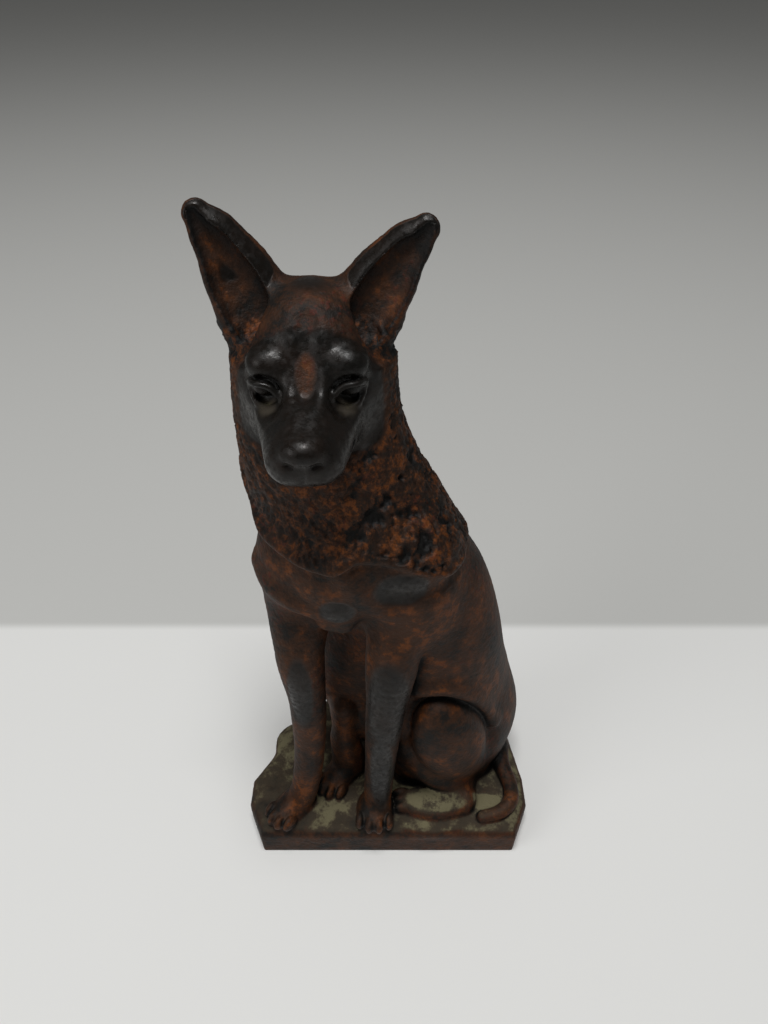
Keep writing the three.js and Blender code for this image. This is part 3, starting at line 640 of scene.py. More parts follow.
@dataclass(frozen=True)
class Head:
    """The head: skull, cheeks, wedge muzzle, brows, eyes, nose and mouth."""

    x: float = -12.4
    y: float = -4.4
    z: float = 117.5
    nod: float = 13.0
    length: float = 21.8

    def stance(self) -> Stance:
        """Returns the head's own stance."""
        return Stance.at(self.x, self.y, self.z, 0, -self.nod)

    def model(self, clay: Clay) -> None:
        """Models the head and the fine parts of the face."""
        head = self.stance()
        clay.add(Egg(head.moved(-2.5, 0, 0.3), 11, 10, 9.6), 4)
        clay.add(Egg(head.moved(-3, 0, -6), 9.5, 10.8, 9), 4)
        clay.add(TaperedBlock(head, (-3, self.length), (11.8, 4.8), (4.4, 2.5), (-5.6, -3.7), 2.3), 2.2)
        clay.add(TaperedBlock(head, (2, self.length - 0.6), (4, 3), (4.2, 3.2), (-1.8, -2.2), 2.2), 4.5)
        for side in (-1, 1):
            clay.add(Egg(head.moved(0, side * 6, -4), 8, 4.4, 6), 3)
            clay.add(Egg(head.moved(5.6, side * 5.9, 3), 3, 3.3, 2.6), 1.5)
            clay.press(Egg(head.moved(11.2, side * 6.6, 0.6), 3.4, 2.7, 2), 1.4)
            clay.add(Egg(head.moved(7.6, side * 6.3, 0.6), 1.9, 2, 1.4), 0.4)
        clay.add(Egg(head.moved(20.3, 0, -0.5), 2.5, 3.3, 2.1), 0.7)
        self.model_fine(clay, head)

    def line(self, head: Stance, points: Sequence[tuple[float, float, float]], r: float) -> Limb:
        """Makes a thin limb through points given ahead, left and up of the head's stance."""
        return Limb([Station(tuple(head.moved(*p).origin), r) for p in points], 5)

    def model_fine(self, clay: Clay, head: Stance) -> None:
        """Models lids, nostrils, the lip line, the cut below the nose and the frown."""
        clay.press(self.line(head, [(3, 0, 9.2), (8, 0, 5.6), (11.5, 0, 2.6)], 1.0), 2.2)
        for side in (-1, 1):
            lower = [(7.4, side * 8.6, 0.2), (9.4, side * 7.6, -1.4)]
            lower += [(10.6, side * 5.6, -1.7), (10.6, side * 3.6, -0.4)]
            clay.add(self.line(head, lower, 0.5), 0.5)
            upper = [(7.4, side * 8.6, 1.0), (9.4, side * 7.4, 2.2)]
            upper += [(9.9, side * 5.4, 2.0), (10.4, side * 3.8, 0.4)]
            clay.add(self.line(head, upper, 0.5), 0.6)
            clay.press(Egg(head.moved(22.6, side * 2.1, -1.6), 0.8, 1.0, 0.5), 0.4)
            lip = [(20.6, side * 4.0, -4.6), (17, side * 5.6, -4.8), (13.5, side * 7.1, -5.2)]
            clay.press(self.line(head, lip, 0.35), 0.5)
        clay.press(self.line(head, [(22.9, 0, -1.4), (22.6, 0, -4.8)], 0.4), 0.4)


@dataclass(frozen=True)
class Ear:
    """A pricked ear: a flattened horn from root to tip with a hollow in front.

    "inner" points from its outer edge to its inner edge.
    """

    root: tuple[float, float, float]
    tip: tuple[float, float, float]
    inner: tuple[float, float, float]
    half_width: float
    flatness: float = 0.62
    hollow_lean: float = 8.0

    def model(self, clay: Clay) -> None:
        """Models the ear and presses its hollow."""
        origin, tip = np.array(self.root, float), np.array(self.tip, float)
        length = float(np.linalg.norm(tip - origin))
        up = (tip - origin) / length
        left = np.array(self.inner, float)
        left -= up * (left @ up)
        left /= np.linalg.norm(left)
        ahead = np.cross(left, up)
        stance = Stance(origin, -ahead if ahead[1] > 0 else ahead, left, up)
        w = self.half_width
        outline = [HornStation(0, 0, w), HornStation(0.3, 0.5, 0.86 * w), HornStation(0.65, 0.9, 0.6 * w)]
        clay.add(Horn(stance, length, self.flatness, outline + [HornStation(0.9, 0.4, 2.2)]), 1.8)
        hollow = [HornStation(0, -2, 3.9), HornStation(0.3, -1.2, 3.9), HornStation(0.6, -0.5, 2.8)]
        hollow += [HornStation(0.82, -0.5, 1.5), HornStation(0.93, -0.2, 0.8)]
        front = stance.moved(3.3, 0, 0, self.hollow_lean)
        clay.press(Horn(front, length, self.flatness, hollow), 0.35)


@dataclass(frozen=True)
class Mane:
    """The mane: a thickness over the neck and shoulders that ends in a raised, scalloped edge."""

    x: float = -8.0
    y: float = -2.0
    thickness: float = 1.0
    slope: float = 1.3
    roll: float = 0.55
    top: float = 112.0
    fade: float = 14.0
    edge: tuple[tuple[float, float], ...] = (
        (-180, 90), (-125, 95), (-87, 96), (-68, 88.6), (-38, 85.8), (-8, 84.6),
        (9, 86.2), (35, 83.8), (53, 80.4), (76, 80.2), (90, 79), (125, 81), (180, 90),
    )

    def above_edge(self, points: Array) -> Array:
        """Returns how far above the mane's edge each point is."""
        bearing = np.degrees(np.arctan2(points[:, 0] - self.x, self.y - points[:, 1]))
        return points[:, 2] - smooth_curve(*zip(*self.edge))(bearing)

    def cover(self, points: Array) -> Array:
        """Returns the thickness that the mane adds at each point."""
        above = self.above_edge(points)
        on = smooth_step(above / self.slope + 0.5)
        roll = self.roll * np.exp(-(((above - 1.1) / 1.0) ** 2))
        return (self.thickness * on + roll) * smooth_step((self.top - points[:, 2]) / self.fade)


EARS = (
    Ear((-20.3, -0.6, 122.6), (-29.7, 1.6, 138.4), (8.3, 6, 8), 6.6),
    Ear((-4.4, -0.6, 122.6), (6.6, 1.8, 135.9), (-9.2, 5, 7), 6.3),
)


class Statue:
    """The whole casting's clay, read as one field in millimetres."""

    def __init__(self) -> None:
        """Models every form in order."""
        self.mane, self.head = Mane(), Head()
        self.clay = Clay()
        for piece in (Base(), Trunk(), Forelegs(), Hindquarters(), self.head, *EARS):
            piece.model(self.clay)

    def distance(self, points: Array) -> Array:
        """Returns the casting's signed distance at points near its surface."""
        p = points.astype(np.float32)
        d = self.clay.distance(p)
        furred = (np.abs(d) < 3) & (p[:, 2] > 66)
        d[furred] -= self.mane.cover(p[furred]).astype(np.float32)
        return np.maximum(d, -p[:, 2] - 1.2)

    def slope(self, points: Array, d: Array, h: float = 0.06) -> Array:
        """Returns the field's gradient at points where its value is d."""
        steps = [(self.distance(points + h * axis) - d) / h for axis in np.eye(3)]
        return np.stack(steps, axis=1)


# ---------------------------------------------------------------- meshing


@dataclass(frozen=True)
class Net:
    """A closed mesh in millimetres: its points and its four-cornered faces."""

    points: Array
    quads: Array


class SurfaceNet:
    """Meshes a field: a vertex in each grid cell that the surface crosses, a quad per crossing."""

    BLOCK = 4

    def __init__(self, statue: Statue, low: Sequence[float], high: Sequence[float], step: float) -> None:
        """Takes the statue, the box that holds it and the grid's step."""
        self.statue, self.step = statue, step
        self.low = np.array(low, float)
        blocks = np.ceil((np.array(high) - self.low) / (step * self.BLOCK)).astype(int)
        self.blocks, self.counts = blocks, blocks * self.BLOCK

    def values(self) -> Array:
        """Samples the field, finely only in the blocks that the surface may pass through."""
        b, step = self.BLOCK, self.step
        size = b * step
        i, j, k = (a.ravel() for a in np.meshgrid(*[np.arange(n) for n in self.blocks], indexing="ij"))
        corner = np.stack([i, j, k], axis=1)
        middle = self.low + (corner + 0.5) * size - step / 2
        coarse = self.statue.distance(middle)
        near = np.abs(coarse) < size * 1.35
        out = np.repeat(coarse.reshape(self.blocks), b, axis=0).repeat(b, axis=1).repeat(b, axis=2)
        inner = np.stack(np.meshgrid(*[np.arange(b)] * 3, indexing="ij"), axis=-1).reshape(-1, 3)
        nodes = (corner[near][:, None, :] * b + inner[None]).reshape(-1, 3)
        fine = np.concatenate([self.statue.distance(self.low + part * step) for part in
                               np.array_split(nodes, max(1, len(nodes) // 300000))])
        out[tuple(nodes.T)] = fine
        return out

    def mesh(self) -> Net:
        """Returns the mesh of the surface, its vertices drawn onto it."""
        values = self.values()
        inside = values < 0
        n = np.array(values.shape) - 1
        corners = [(a, b, c) for a in (0, 1) for b in (0, 1) for c in (0, 1)]
        cut = lambda array, a, b, c: array[a : a + n[0], b : b + n[1], c : c + n[2]]
        count = sum(cut(inside, *c).astype(np.int8) for c in corners)
        cells = np.argwhere((count > 0) & (count < 8))
        number = np.full(n, -1, np.int64)
        number[tuple(cells.T)] = np.arange(len(cells))
        total, crossings = np.zeros((len(cells), 3)), np.zeros(len(cells))
        for corner in corners:
            for axis in range(3):
                if corner[axis]:
                    continue
                other = list(corner)
                other[axis] = 1
                a = values[tuple((cells + corner).T)]
                b = values[tuple((cells + other).T)]
                crossed = (a < 0) != (b < 0)
                t = np.where(crossed, a / np.where(crossed, a - b, 1), 0)
                place = np.tile(np.array(corner, float), (len(cells), 1))
                place[:, axis] = t
                total += place * crossed[:, None]
                crossings += crossed
        points = self.low + (cells + total / crossings[:, None]) * self.step
        quads = []
        for axis in range(3):
            u, v = (axis + 1) % 3, (axis + 2) % 3
            ahead = np.roll(inside, -1, axis=axis)
            change = inside != ahead
            for side in range(3):
                edge = [slice(None)] * 3
                edge[side] = slice(-1, None)
                change[tuple(edge)] = False
                edge[side] = slice(0, 1)
                change[tuple(edge)] = False
            at = np.argwhere(change)
            du, dv = np.eye(3, dtype=int)[u], np.eye(3, dtype=int)[v]
            ring = [number[tuple((at - o).T)] for o in (du + dv, dv, 0 * du, du)]
            quad = np.stack(ring, axis=1)
            out = inside[tuple(at.T)]
            quads.append(np.where(out[:, None], quad, quad[:, ::-1]))
        return Net(self.settled(points), np.concatenate(quads))

    def settled(self, points: Array, rounds: int = 2, longest: float = 0.25) -> Array:
        """Moves points along the field's gradient onto the surface."""
        for _ in range(rounds):
            d = self.statue.distance(points)
            slope = self.statue.slope(points, d)
            squared = (slope**2).sum(axis=1)
            move = np.clip(d / np.maximum(squared, 0.05), -longest, longest)
            points = points - np.where(squared > 0.05, move, 0)[:, None] * slope
        return points


# ---------------------------------------------------------------- nodes and finishes


def linear(hex_colour: str) -> tuple[float, float, float, float]:
    """Turns an sRGB hex colour into linear RGBA."""
    parts = [int(hex_colour.lstrip("#")[i : i + 2], 16) / 255 for i in (0, 2, 4)]
    return (*[c / 12.92 if c <= 0.04045 else ((c + 0.055) / 1.055) ** 2.4 for c in parts], 1.0)


def node(
    tree: bpy.types.NodeTree, kind: str, settings: dict | None = None, **inputs: object
) -> bpy.types.Node:
    """Adds a node with its settings and its inputs.

    Args:
        tree: The node tree.
        kind: The node's type name.
        settings: Properties of the node.
        inputs: An input's name or number (as i0, i1 ...) to a value or to another node's socket.

    Returns:
        The node.
    """
    made = tree.nodes.new(kind)
    for name, value in (settings or {}).items():
        setattr(made, name, value)
    for name, value in inputs.items():
        key = int(name[1:]) if name[0] == "i" and name[1:].isdigit() else name.replace("_", " ")
        socket = made.inputs[key]
        if isinstance(value, bpy.types.NodeSocket):
            tree.links.new(value, socket)
        else:
            socket.default_value = value
    return made


class Mask(Enum):
    """Per-vertex measures that the cast iron's finish reads."""

    COAT = "coat"
    FUR = "fur"
    PIT = "pit"
    HOLLOW = "hollow"
    RIDGE = "ridge"
    RUBBED = "rubbed"
    RUST = "rust"
    DIRT = "dirt"


@dataclass(frozen=True)
class OldCastIron:
    """Sand-cast iron, once painted brown and long handled.

    Dark and glossy where hands have rubbed it, red-brown and dull where old paint and rust are
    left between the high points, and pale with dirt in the recesses. Hollows, pits and the gaps
    between the fur strokes are deepened with painted shade.
    """

    name: str = "cast_iron_sand_cast_worn_paint"
    iron: str = "#11100E"
    brown: str = "#3B2211"
    umber: str = "#1A110A"
    rust: str = "#633512"
    red: str = "#4E1D10"
    # the deep colour of the painted shade in hollows, pits and the gaps between the fur strokes
    painted_shade_black: str = "#060504"
    ground: str = "#3E372C"
    dirt: str = "#6A644C"
    grain_mm: float = 0.45
    speckle_mm: float = 1.3
    hair_mm: float = 0.7
    patch_mm: float = 5.0

    def material(self) -> bpy.types.Material:
        """Builds the material.

        Returns:
            The material, which reads Object coordinates and the piece's masks.
        """
        material = bpy.data.materials.new(self.name)
        material.use_nodes = True
        tree = material.node_tree
        tree.nodes.clear()
        place = node(tree, "ShaderNodeTexCoord").outputs["Object"]
        read = {m: node(tree, "ShaderNodeAttribute", {"attribute_name": m.value}).outputs["Fac"] for m in Mask}

        def noise(size_mm: float, detail: float = 3.0, rough: float = 0.6) -> bpy.types.NodeSocket:
            """Returns a noise whose features are about size_mm across."""
            made = node(tree, "ShaderNodeTexNoise", Vector=place, Scale=0.5 / (size_mm * MM), Detail=detail,
                        Roughness=rough)
            return made.outputs["Fac"]

        def ramp(value: bpy.types.NodeSocket, low: float, high: float) -> bpy.types.NodeSocket:
            """Returns value spread from low..high to 0..1."""
            made = node(tree, "ShaderNodeMapRange", {"interpolation_type": "SMOOTHSTEP"}, Value=value)
            made.inputs["From Min"].default_value = low
            made.inputs["From Max"].default_value = high
            return made.outputs["Result"]

        def math_of(operation: str, a: object, b: object) -> bpy.types.NodeSocket:
            """Returns the named operation on two values."""
            settings = {"operation": operation, "use_clamp": operation != "SUBTRACT"}
            return node(tree, "ShaderNodeMath", settings, i0=a, i1=b).outputs[0]

        def mix(share: bpy.types.NodeSocket, a: object, b: object) -> bpy.types.NodeSocket:
            """Returns colour a turned to b by share."""
            made = node(tree, "ShaderNodeMix", {"data_type": "RGBA"})
            for key, value in ((0, share), (6, a), (7, b)):
                if isinstance(value, bpy.types.NodeSocket):
                    tree.links.new(value, made.inputs[key])
                else:
                    made.inputs[key].default_value = value
            return made.outputs[2]

        patches, broad = noise(self.patch_mm, 4, 0.65), noise(2.6 * self.patch_mm, 2)
        speckle, fine = noise(self.speckle_mm, 5, 0.75), noise(self.grain_mm, 3)
        hair = noise(self.hair_mm, 4, 0.7)
        mottle = math_of("ADD", math_of("MULTIPLY", patches, 0.55), math_of("MULTIPLY", speckle, 0.45))
        colour = mix(ramp(mottle, 0.38, 0.56), linear(self.umber), linear(self.brown))
        warm = math_of("MULTIPLY", ramp(speckle, 0.48, 0.62), ramp(patches, 0.46, 0.6))
        furred = math_of("MULTIPLY", read[Mask.COAT], ramp(hair, 0.53, 0.66))
        rust_share = math_of("MULTIPLY", math_of("ADD", warm, furred), read[Mask.RUST])
        colour = mix(rust_share, colour, linear(self.rust))
        red_patch = math_of("MULTIPLY", ramp(fine, 0.52, 0.66), ramp(broad, 0.5, 0.62))
        red_share = math_of("MULTIPLY", red_patch, 0.6)
        colour = mix(math_of("MULTIPLY", red_share, read[Mask.RUST]), colour, linear(self.red))
        grey_share = math_of("MULTIPLY", ramp(speckle, 0.52, 0.4), ramp(patches, 0.52, 0.4))
        colour = mix(math_of("MULTIPLY", grey_share, 0.75), colour, linear(self.iron))
        rubbed = math_of("ADD", read[Mask.RUBBED], math_of("MULTIPLY", read[Mask.RIDGE], 0.35))
        rub_share = ramp(math_of("ADD", math_of("MULTIPLY", mottle, 0.8), rubbed), 0.68, 1.02)
        colour = mix(math_of("MULTIPLY", rub_share, 0.93), colour, linear(self.iron))
        # Painted shade: the colour is deepened as if shadowed where the fur strokes leave gaps, where the hair noise is
        # low, in the pits and in the hollows.
        gap = math_of("MULTIPLY", read[Mask.COAT], ramp(read[Mask.FUR], 0.35, 0.0))
        shade = math_of("MULTIPLY", math_of("MULTIPLY", read[Mask.COAT], ramp(hair, 0.54, 0.42)), 0.8)
        gap = math_of("MAXIMUM", gap, shade)
        painted_gap_shade = math_of("MULTIPLY", gap, 0.75)
        painted_hollow_shade = math_of("ADD", read[Mask.PIT], ramp(read[Mask.HOLLOW], 0.16, 0.62))
        painted_shade = math_of("ADD", painted_gap_shade, painted_hollow_shade)
        colour = mix(painted_shade, colour, linear(self.painted_shade_black))
        ground_share = math_of("MULTIPLY", read[Mask.DIRT], ramp(patches, 0.25, 0.5))
        colour = mix(math_of("MULTIPLY", ground_share, 0.85), colour, linear(self.ground))
        deposit = math_of("ADD", mottle, math_of("MULTIPLY", read[Mask.DIRT], 0.12))
        dirt_share = math_of("MULTIPLY", read[Mask.DIRT], ramp(deposit, 0.6, 0.72))
        colour = mix(dirt_share, colour, linear(self.dirt))
        shader = node(tree, "ShaderNodeBsdfPrincipled", Base_Color=colour)
        shader.inputs["Metallic"].default_value = 0.2
        shader.inputs["Specular IOR Level"].default_value = 0.26
        rough = node(tree, "ShaderNodeMapRange", Value=math_of("MULTIPLY", rub_share, ramp(fine, 0.75, 0.35)))
        rough.inputs["To Min"].default_value = 0.62
        rough.inputs["To Max"].default_value = 0.26
        worn = node(tree, "ShaderNodeMapRange", Value=math_of("ADD", dirt_share, ground_share))
        tree.links.new(rough.outputs[0], worn.inputs["To Min"])
        worn.inputs["To Max"].default_value = 0.85
        tree.links.new(worn.outputs[0], shader.inputs["Roughness"])
        fine_height = math_of("MULTIPLY", fine, ramp(rub_share, 1.0, 0.0))
        height = math_of("ADD", fine_height, math_of("MULTIPLY", speckle, 0.5))
        bump = node(tree, "ShaderNodeBump", Height=height, Strength=0.8, Distance=0.25 * MM)
        tree.links.new(bump.outputs[0], shader.inputs["Normal"])
        node(tree, "ShaderNodeOutputMaterial", Surface=shader.outputs[0])
        return material


@dataclass(frozen=True)
class WhiteBoard:
    """Matt card laid under the statue, white in front of a line behind it and pale grey beyond, the grey a painted
    shade in place of a dimmer-lit wall.
    """

    name: str = "white_card_matt"
    colour: str = "#E8E8E6"
    far_shade_colour: str = "#C4C4C1"
    far_y: float = 0.0485
    fade: float = 0.004
    mottle_colour: str = "#D8D8D4"

    def material(self) -> bpy.types.Material:
        """Builds the card's material with its faint mottling."""
        material = bpy.data.materials.new(self.name)
        material.use_nodes = True
        tree = material.node_tree
        tree.nodes.clear()
        place = node(tree, "ShaderNodeTexCoord").outputs["Object"]
        mottle = node(tree, "ShaderNodeTexNoise", Vector=place, Scale=6.0, Detail=3.0).outputs["Fac"]
        share = node(tree, "ShaderNodeMapRange", Value=mottle)
        share.inputs["To Max"].default_value = 0.25
        tint = node(tree, "ShaderNodeMix", {"data_type": "RGBA"})
        tree.links.new(share.outputs[0], tint.inputs[0])
        tint.inputs[6].default_value = linear(self.colour)
        tint.inputs[7].default_value = linear(self.mottle_colour)
        # Beyond far_y the card is painted pale grey: painted shade standing in for a wall lit more dimly than the
        # floor.
        along = node(tree, "ShaderNodeSeparateXYZ", Vector=place).outputs["Y"]
        far = node(tree, "ShaderNodeMapRange", {"interpolation_type": "SMOOTHSTEP"}, Value=along)
        far.inputs["From Min"].default_value = self.far_y - self.fade / 2
        far.inputs["From Max"].default_value = self.far_y + self.fade / 2
        cards = node(tree, "ShaderNodeMix", {"data_type": "RGBA"})
        tree.links.new(far.outputs[0], cards.inputs[0])
        tree.links.new(tint.outputs[2], cards.inputs[6])
        cards.inputs[7].default_value = linear(self.far_shade_colour)
        shader = node(tree, "ShaderNodeBsdfPrincipled", Base_Color=cards.outputs[2], Roughness=0.7)
        node(tree, "ShaderNodeOutputMaterial", Surface=shader.outputs[0])
        return material


# ---------------------------------------------------------------- the cut fur


@dataclass(frozen=True)
class Coat:
    """The fur cut into the mane: short curved strokes that follow the way the hair lies."""

    spacing: float = 1.05
    length: float = 3.4
    steps: int = 5
    sink: float = 0.5
    seed: int = 7

    def way(self, p: Array, n: Array, curl: Array) -> Array:
        """Returns the unit way the hair lies at points with normals n, turned by curl radians."""
        down = np.array([0.0, 0.0, -1.0]) + 0.35 * np.stack([p[:, 0] + 9, p[:, 1] + 2, 0 * curl], axis=1) / 15
        flow = down - (down * n).sum(axis=1)[:, None] * n
        flow /= np.linalg.norm(flow, axis=1)[:, None] + 1e-9
        side = np.cross(n, flow)
        return np.cos(curl)[:, None] * flow + np.sin(curl)[:, None] * side

    def curl(self, p: Array) -> Array:
        """Returns how far the hair is turned, a slow wave over the mane that makes its locks."""
        x, y, z = p.T
        return 0.55 * np.sin(x / 2.9 + z / 3.7) + 0.45 * np.sin(y / 2.3 - z / 2.6 + 1.3) + 0.3 * np.sin(x / 1.7 - y / 1.9)

    def strokes(self, statue: Statue, points: Array, normals: Array, weight: Array) -> tuple[Array, Array]:
        """Lays the strokes over the part of the surface that has a weight.

        Args:
            statue: The field to lay them on.
            points, normals: The surface's points and normals in millimetres.
            weight: How likely a stroke is to start at each point, 0 to 1.

        Returns:
            The strokes' points, one row of steps for each stroke, and nothing where it sinks.
        """
        rng = np.random.default_rng(self.seed)
        order = rng.permutation(np.nonzero(weight > rng.uniform(0.05, 0.6, len(weight)))[0])
        cells = np.floor(points[order] / self.spacing).astype(np.int64) + 200
        _, first = np.unique(cells @ np.array([1, 512, 512 * 512]), return_index=True)
        roots = order[first]
        p, n = points[roots], normals[roots]
        stride = self.length / (self.steps - 1) * rng.uniform(0.8, 1.25, len(roots))
        bend = rng.uniform(-0.25, 0.25, len(roots))
        rows = [p]
        start = self.curl(p) + rng.uniform(-0.2, 0.2, len(roots))
        for step in range(1, self.steps):
            p = p + self.way(p, n, start + bend * step) * stride[:, None]
            d = statue.distance(p)
            g = statue.slope(p, d)
            n = g / (np.linalg.norm(g, axis=1)[:, None] + 1e-9)
            p = p - n * d[:, None]
            rows.append(p)
        path = np.stack(rows, axis=1)
        dip = self.sink * np.array([1.0, 0.35, 0.0, 0.1, 0.9][: self.steps])
        return path - normals[roots][:, None, :] * dip[None, :, None], np.array(roots)


class FurTree:
    """Geometry Nodes that raise a casting's skin over every stroke of the fur."""

    def __init__(self, material: bpy.types.Material) -> None:
        """Builds the tree.

        Args:
            material: The material that the tree sets.
        """
        self.tree = bpy.data.node_groups.new("raised_fur", "GeometryNodeTree")
        face = self.tree.interface
        face.new_socket("Geometry", in_out="INPUT", socket_type="NodeSocketGeometry")
        self.sockets = {"Strokes": face.new_socket("Strokes", in_out="INPUT", socket_type="NodeSocketObject")}
        for name in ("Stroke Width", "Stroke Height", "Grain Size", "Grain Height", "Clump Size", "Clump Depth"):
            self.sockets[name] = face.new_socket(name, in_out="INPUT", socket_type="NodeSocketFloat")
        self.sockets["Seed"] = face.new_socket("Seed", in_out="INPUT", socket_type="NodeSocketInt")
        face.new_socket("Geometry", in_out="OUTPUT", socket_type="NodeSocketGeometry")
        t = self.tree
        given = node(t, "NodeGroupInput").outputs
        strokes = node(t, "GeometryNodeObjectInfo", {"transform_space": "RELATIVE"}, Object=given["Strokes"])
        near = node(t, "GeometryNodeProximity", {"target_element": "EDGES"}, i0=strokes.outputs["Geometry"])
        share = node(t, "ShaderNodeMapRange", {"interpolation_type": "SMOOTHSTEP"}, Value=near.outputs["Distance"])
        t.links.new(given["Stroke Width"], share.inputs["From Max"])
        share.inputs["To Min"].default_value = 1.0
        share.inputs["To Max"].default_value = 0.0
        kept = node(t, "GeometryNodeInputNamedAttribute", {"data_type": "FLOAT"}, Name="coat")
        fur = node(t, "ShaderNodeMath", {"operation": "MULTIPLY"}, i0=share.outputs[0], i1=kept.outputs[0])
        stored = node(t, "GeometryNodeStoreNamedAttribute", {"data_type": "FLOAT", "domain": "POINT"},
                      Geometry=given["Geometry"], Name=Mask.FUR.value)
        value = [s for s in stored.inputs if s.name == "Value" and s.enabled][0]
        t.links.new(fur.outputs[0], value)
        place = node(t, "GeometryNodeInputPosition").outputs[0]
        scale = node(t, "ShaderNodeMath", {"operation": "DIVIDE"}, i0=1.0, i1=given["Grain Size"])
        grain = node(t, "ShaderNodeTexNoise", {"noise_dimensions": "4D"}, Vector=place, W=given["Seed"],
                     Scale=scale.outputs[0], Detail=2.0)
        level = node(t, "ShaderNodeMath", {"operation": "SUBTRACT"}, i0=grain.outputs[0], i1=0.5)
        grain_lift = node(t, "ShaderNodeMath", {"operation": "MULTIPLY"}, i0=level.outputs[0], i1=given["Grain Height"])
        clump_scale = node(t, "ShaderNodeMath", {"operation": "DIVIDE"}, i0=1.0, i1=given["Clump Size"])
        clump = node(t, "ShaderNodeTexNoise", {"noise_dimensions": "4D"}, Vector=place, W=given["Seed"],
                     Scale=clump_scale.outputs[0], Detail=1.5)
        low = node(t, "ShaderNodeMapRange", {"interpolation_type": "SMOOTHSTEP"}, Value=clump.outputs[0])
        for key, number in (("From Min", 0.5), ("From Max", 0.36)):
            low.inputs[key].default_value = number
        ruff = node(t, "GeometryNodeInputNamedAttribute", {"data_type": "FLOAT"}, Name="ruff")
        pit = node(t, "ShaderNodeMath", {"operation": "MULTIPLY"}, i0=low.outputs[0], i1=ruff.outputs[0])
        pitted = node(t, "GeometryNodeStoreNamedAttribute", {"data_type": "FLOAT", "domain": "POINT"},
                      Geometry=stored.outputs[0], Name=Mask.PIT.value)
        t.links.new(pit.outputs[0], [s for s in pitted.inputs if s.name == "Value" and s.enabled][0])
        pit_lift = node(t, "ShaderNodeMath", {"operation": "MULTIPLY"}, i0=pit.outputs[0], i1=given["Clump Depth"])
        rough_lift = node(t, "ShaderNodeMath", {"operation": "SUBTRACT"}, i0=grain_lift.outputs[0],
                          i1=pit_lift.outputs[0])
        lift = node(t, "ShaderNodeMath", {"operation": "MULTIPLY_ADD"}, i0=fur.outputs[0], i1=given["Stroke Height"],
                    i2=rough_lift.outputs[0])
        free = node(t, "GeometryNodeInputNamedAttribute", {"data_type": "FLOAT"}, Name="free")
        held = node(t, "ShaderNodeMath", {"operation": "MULTIPLY"}, i0=lift.outputs[0], i1=free.outputs[0])
        way = node(t, "GeometryNodeInputNormal").outputs[0]
        offset = node(t, "ShaderNodeVectorMath", {"operation": "SCALE"}, i0=way)
        t.links.new(held.outputs[0], offset.inputs["Scale"])
        moved = node(t, "GeometryNodeSetPosition", Geometry=pitted.outputs[0], Offset=offset.outputs[0])
        real = node(t, "GeometryNodeRealizeInstances", Geometry=moved.outputs[0])
        dressed = node(t, "GeometryNodeSetMaterial", Geometry=real.outputs[0], Material=material)
        node(t, "NodeGroupOutput", Geometry=dressed.outputs[0])

    def set(self, modifier: bpy.types.NodesModifier, **values: object) -> None:
        """Sets the modifier's inputs by their sockets' identifiers."""
        for name, value in values.items():
            modifier[self.sockets[name.replace("_", " ")].identifier] = value


# ---------------------------------------------------------------- the casting


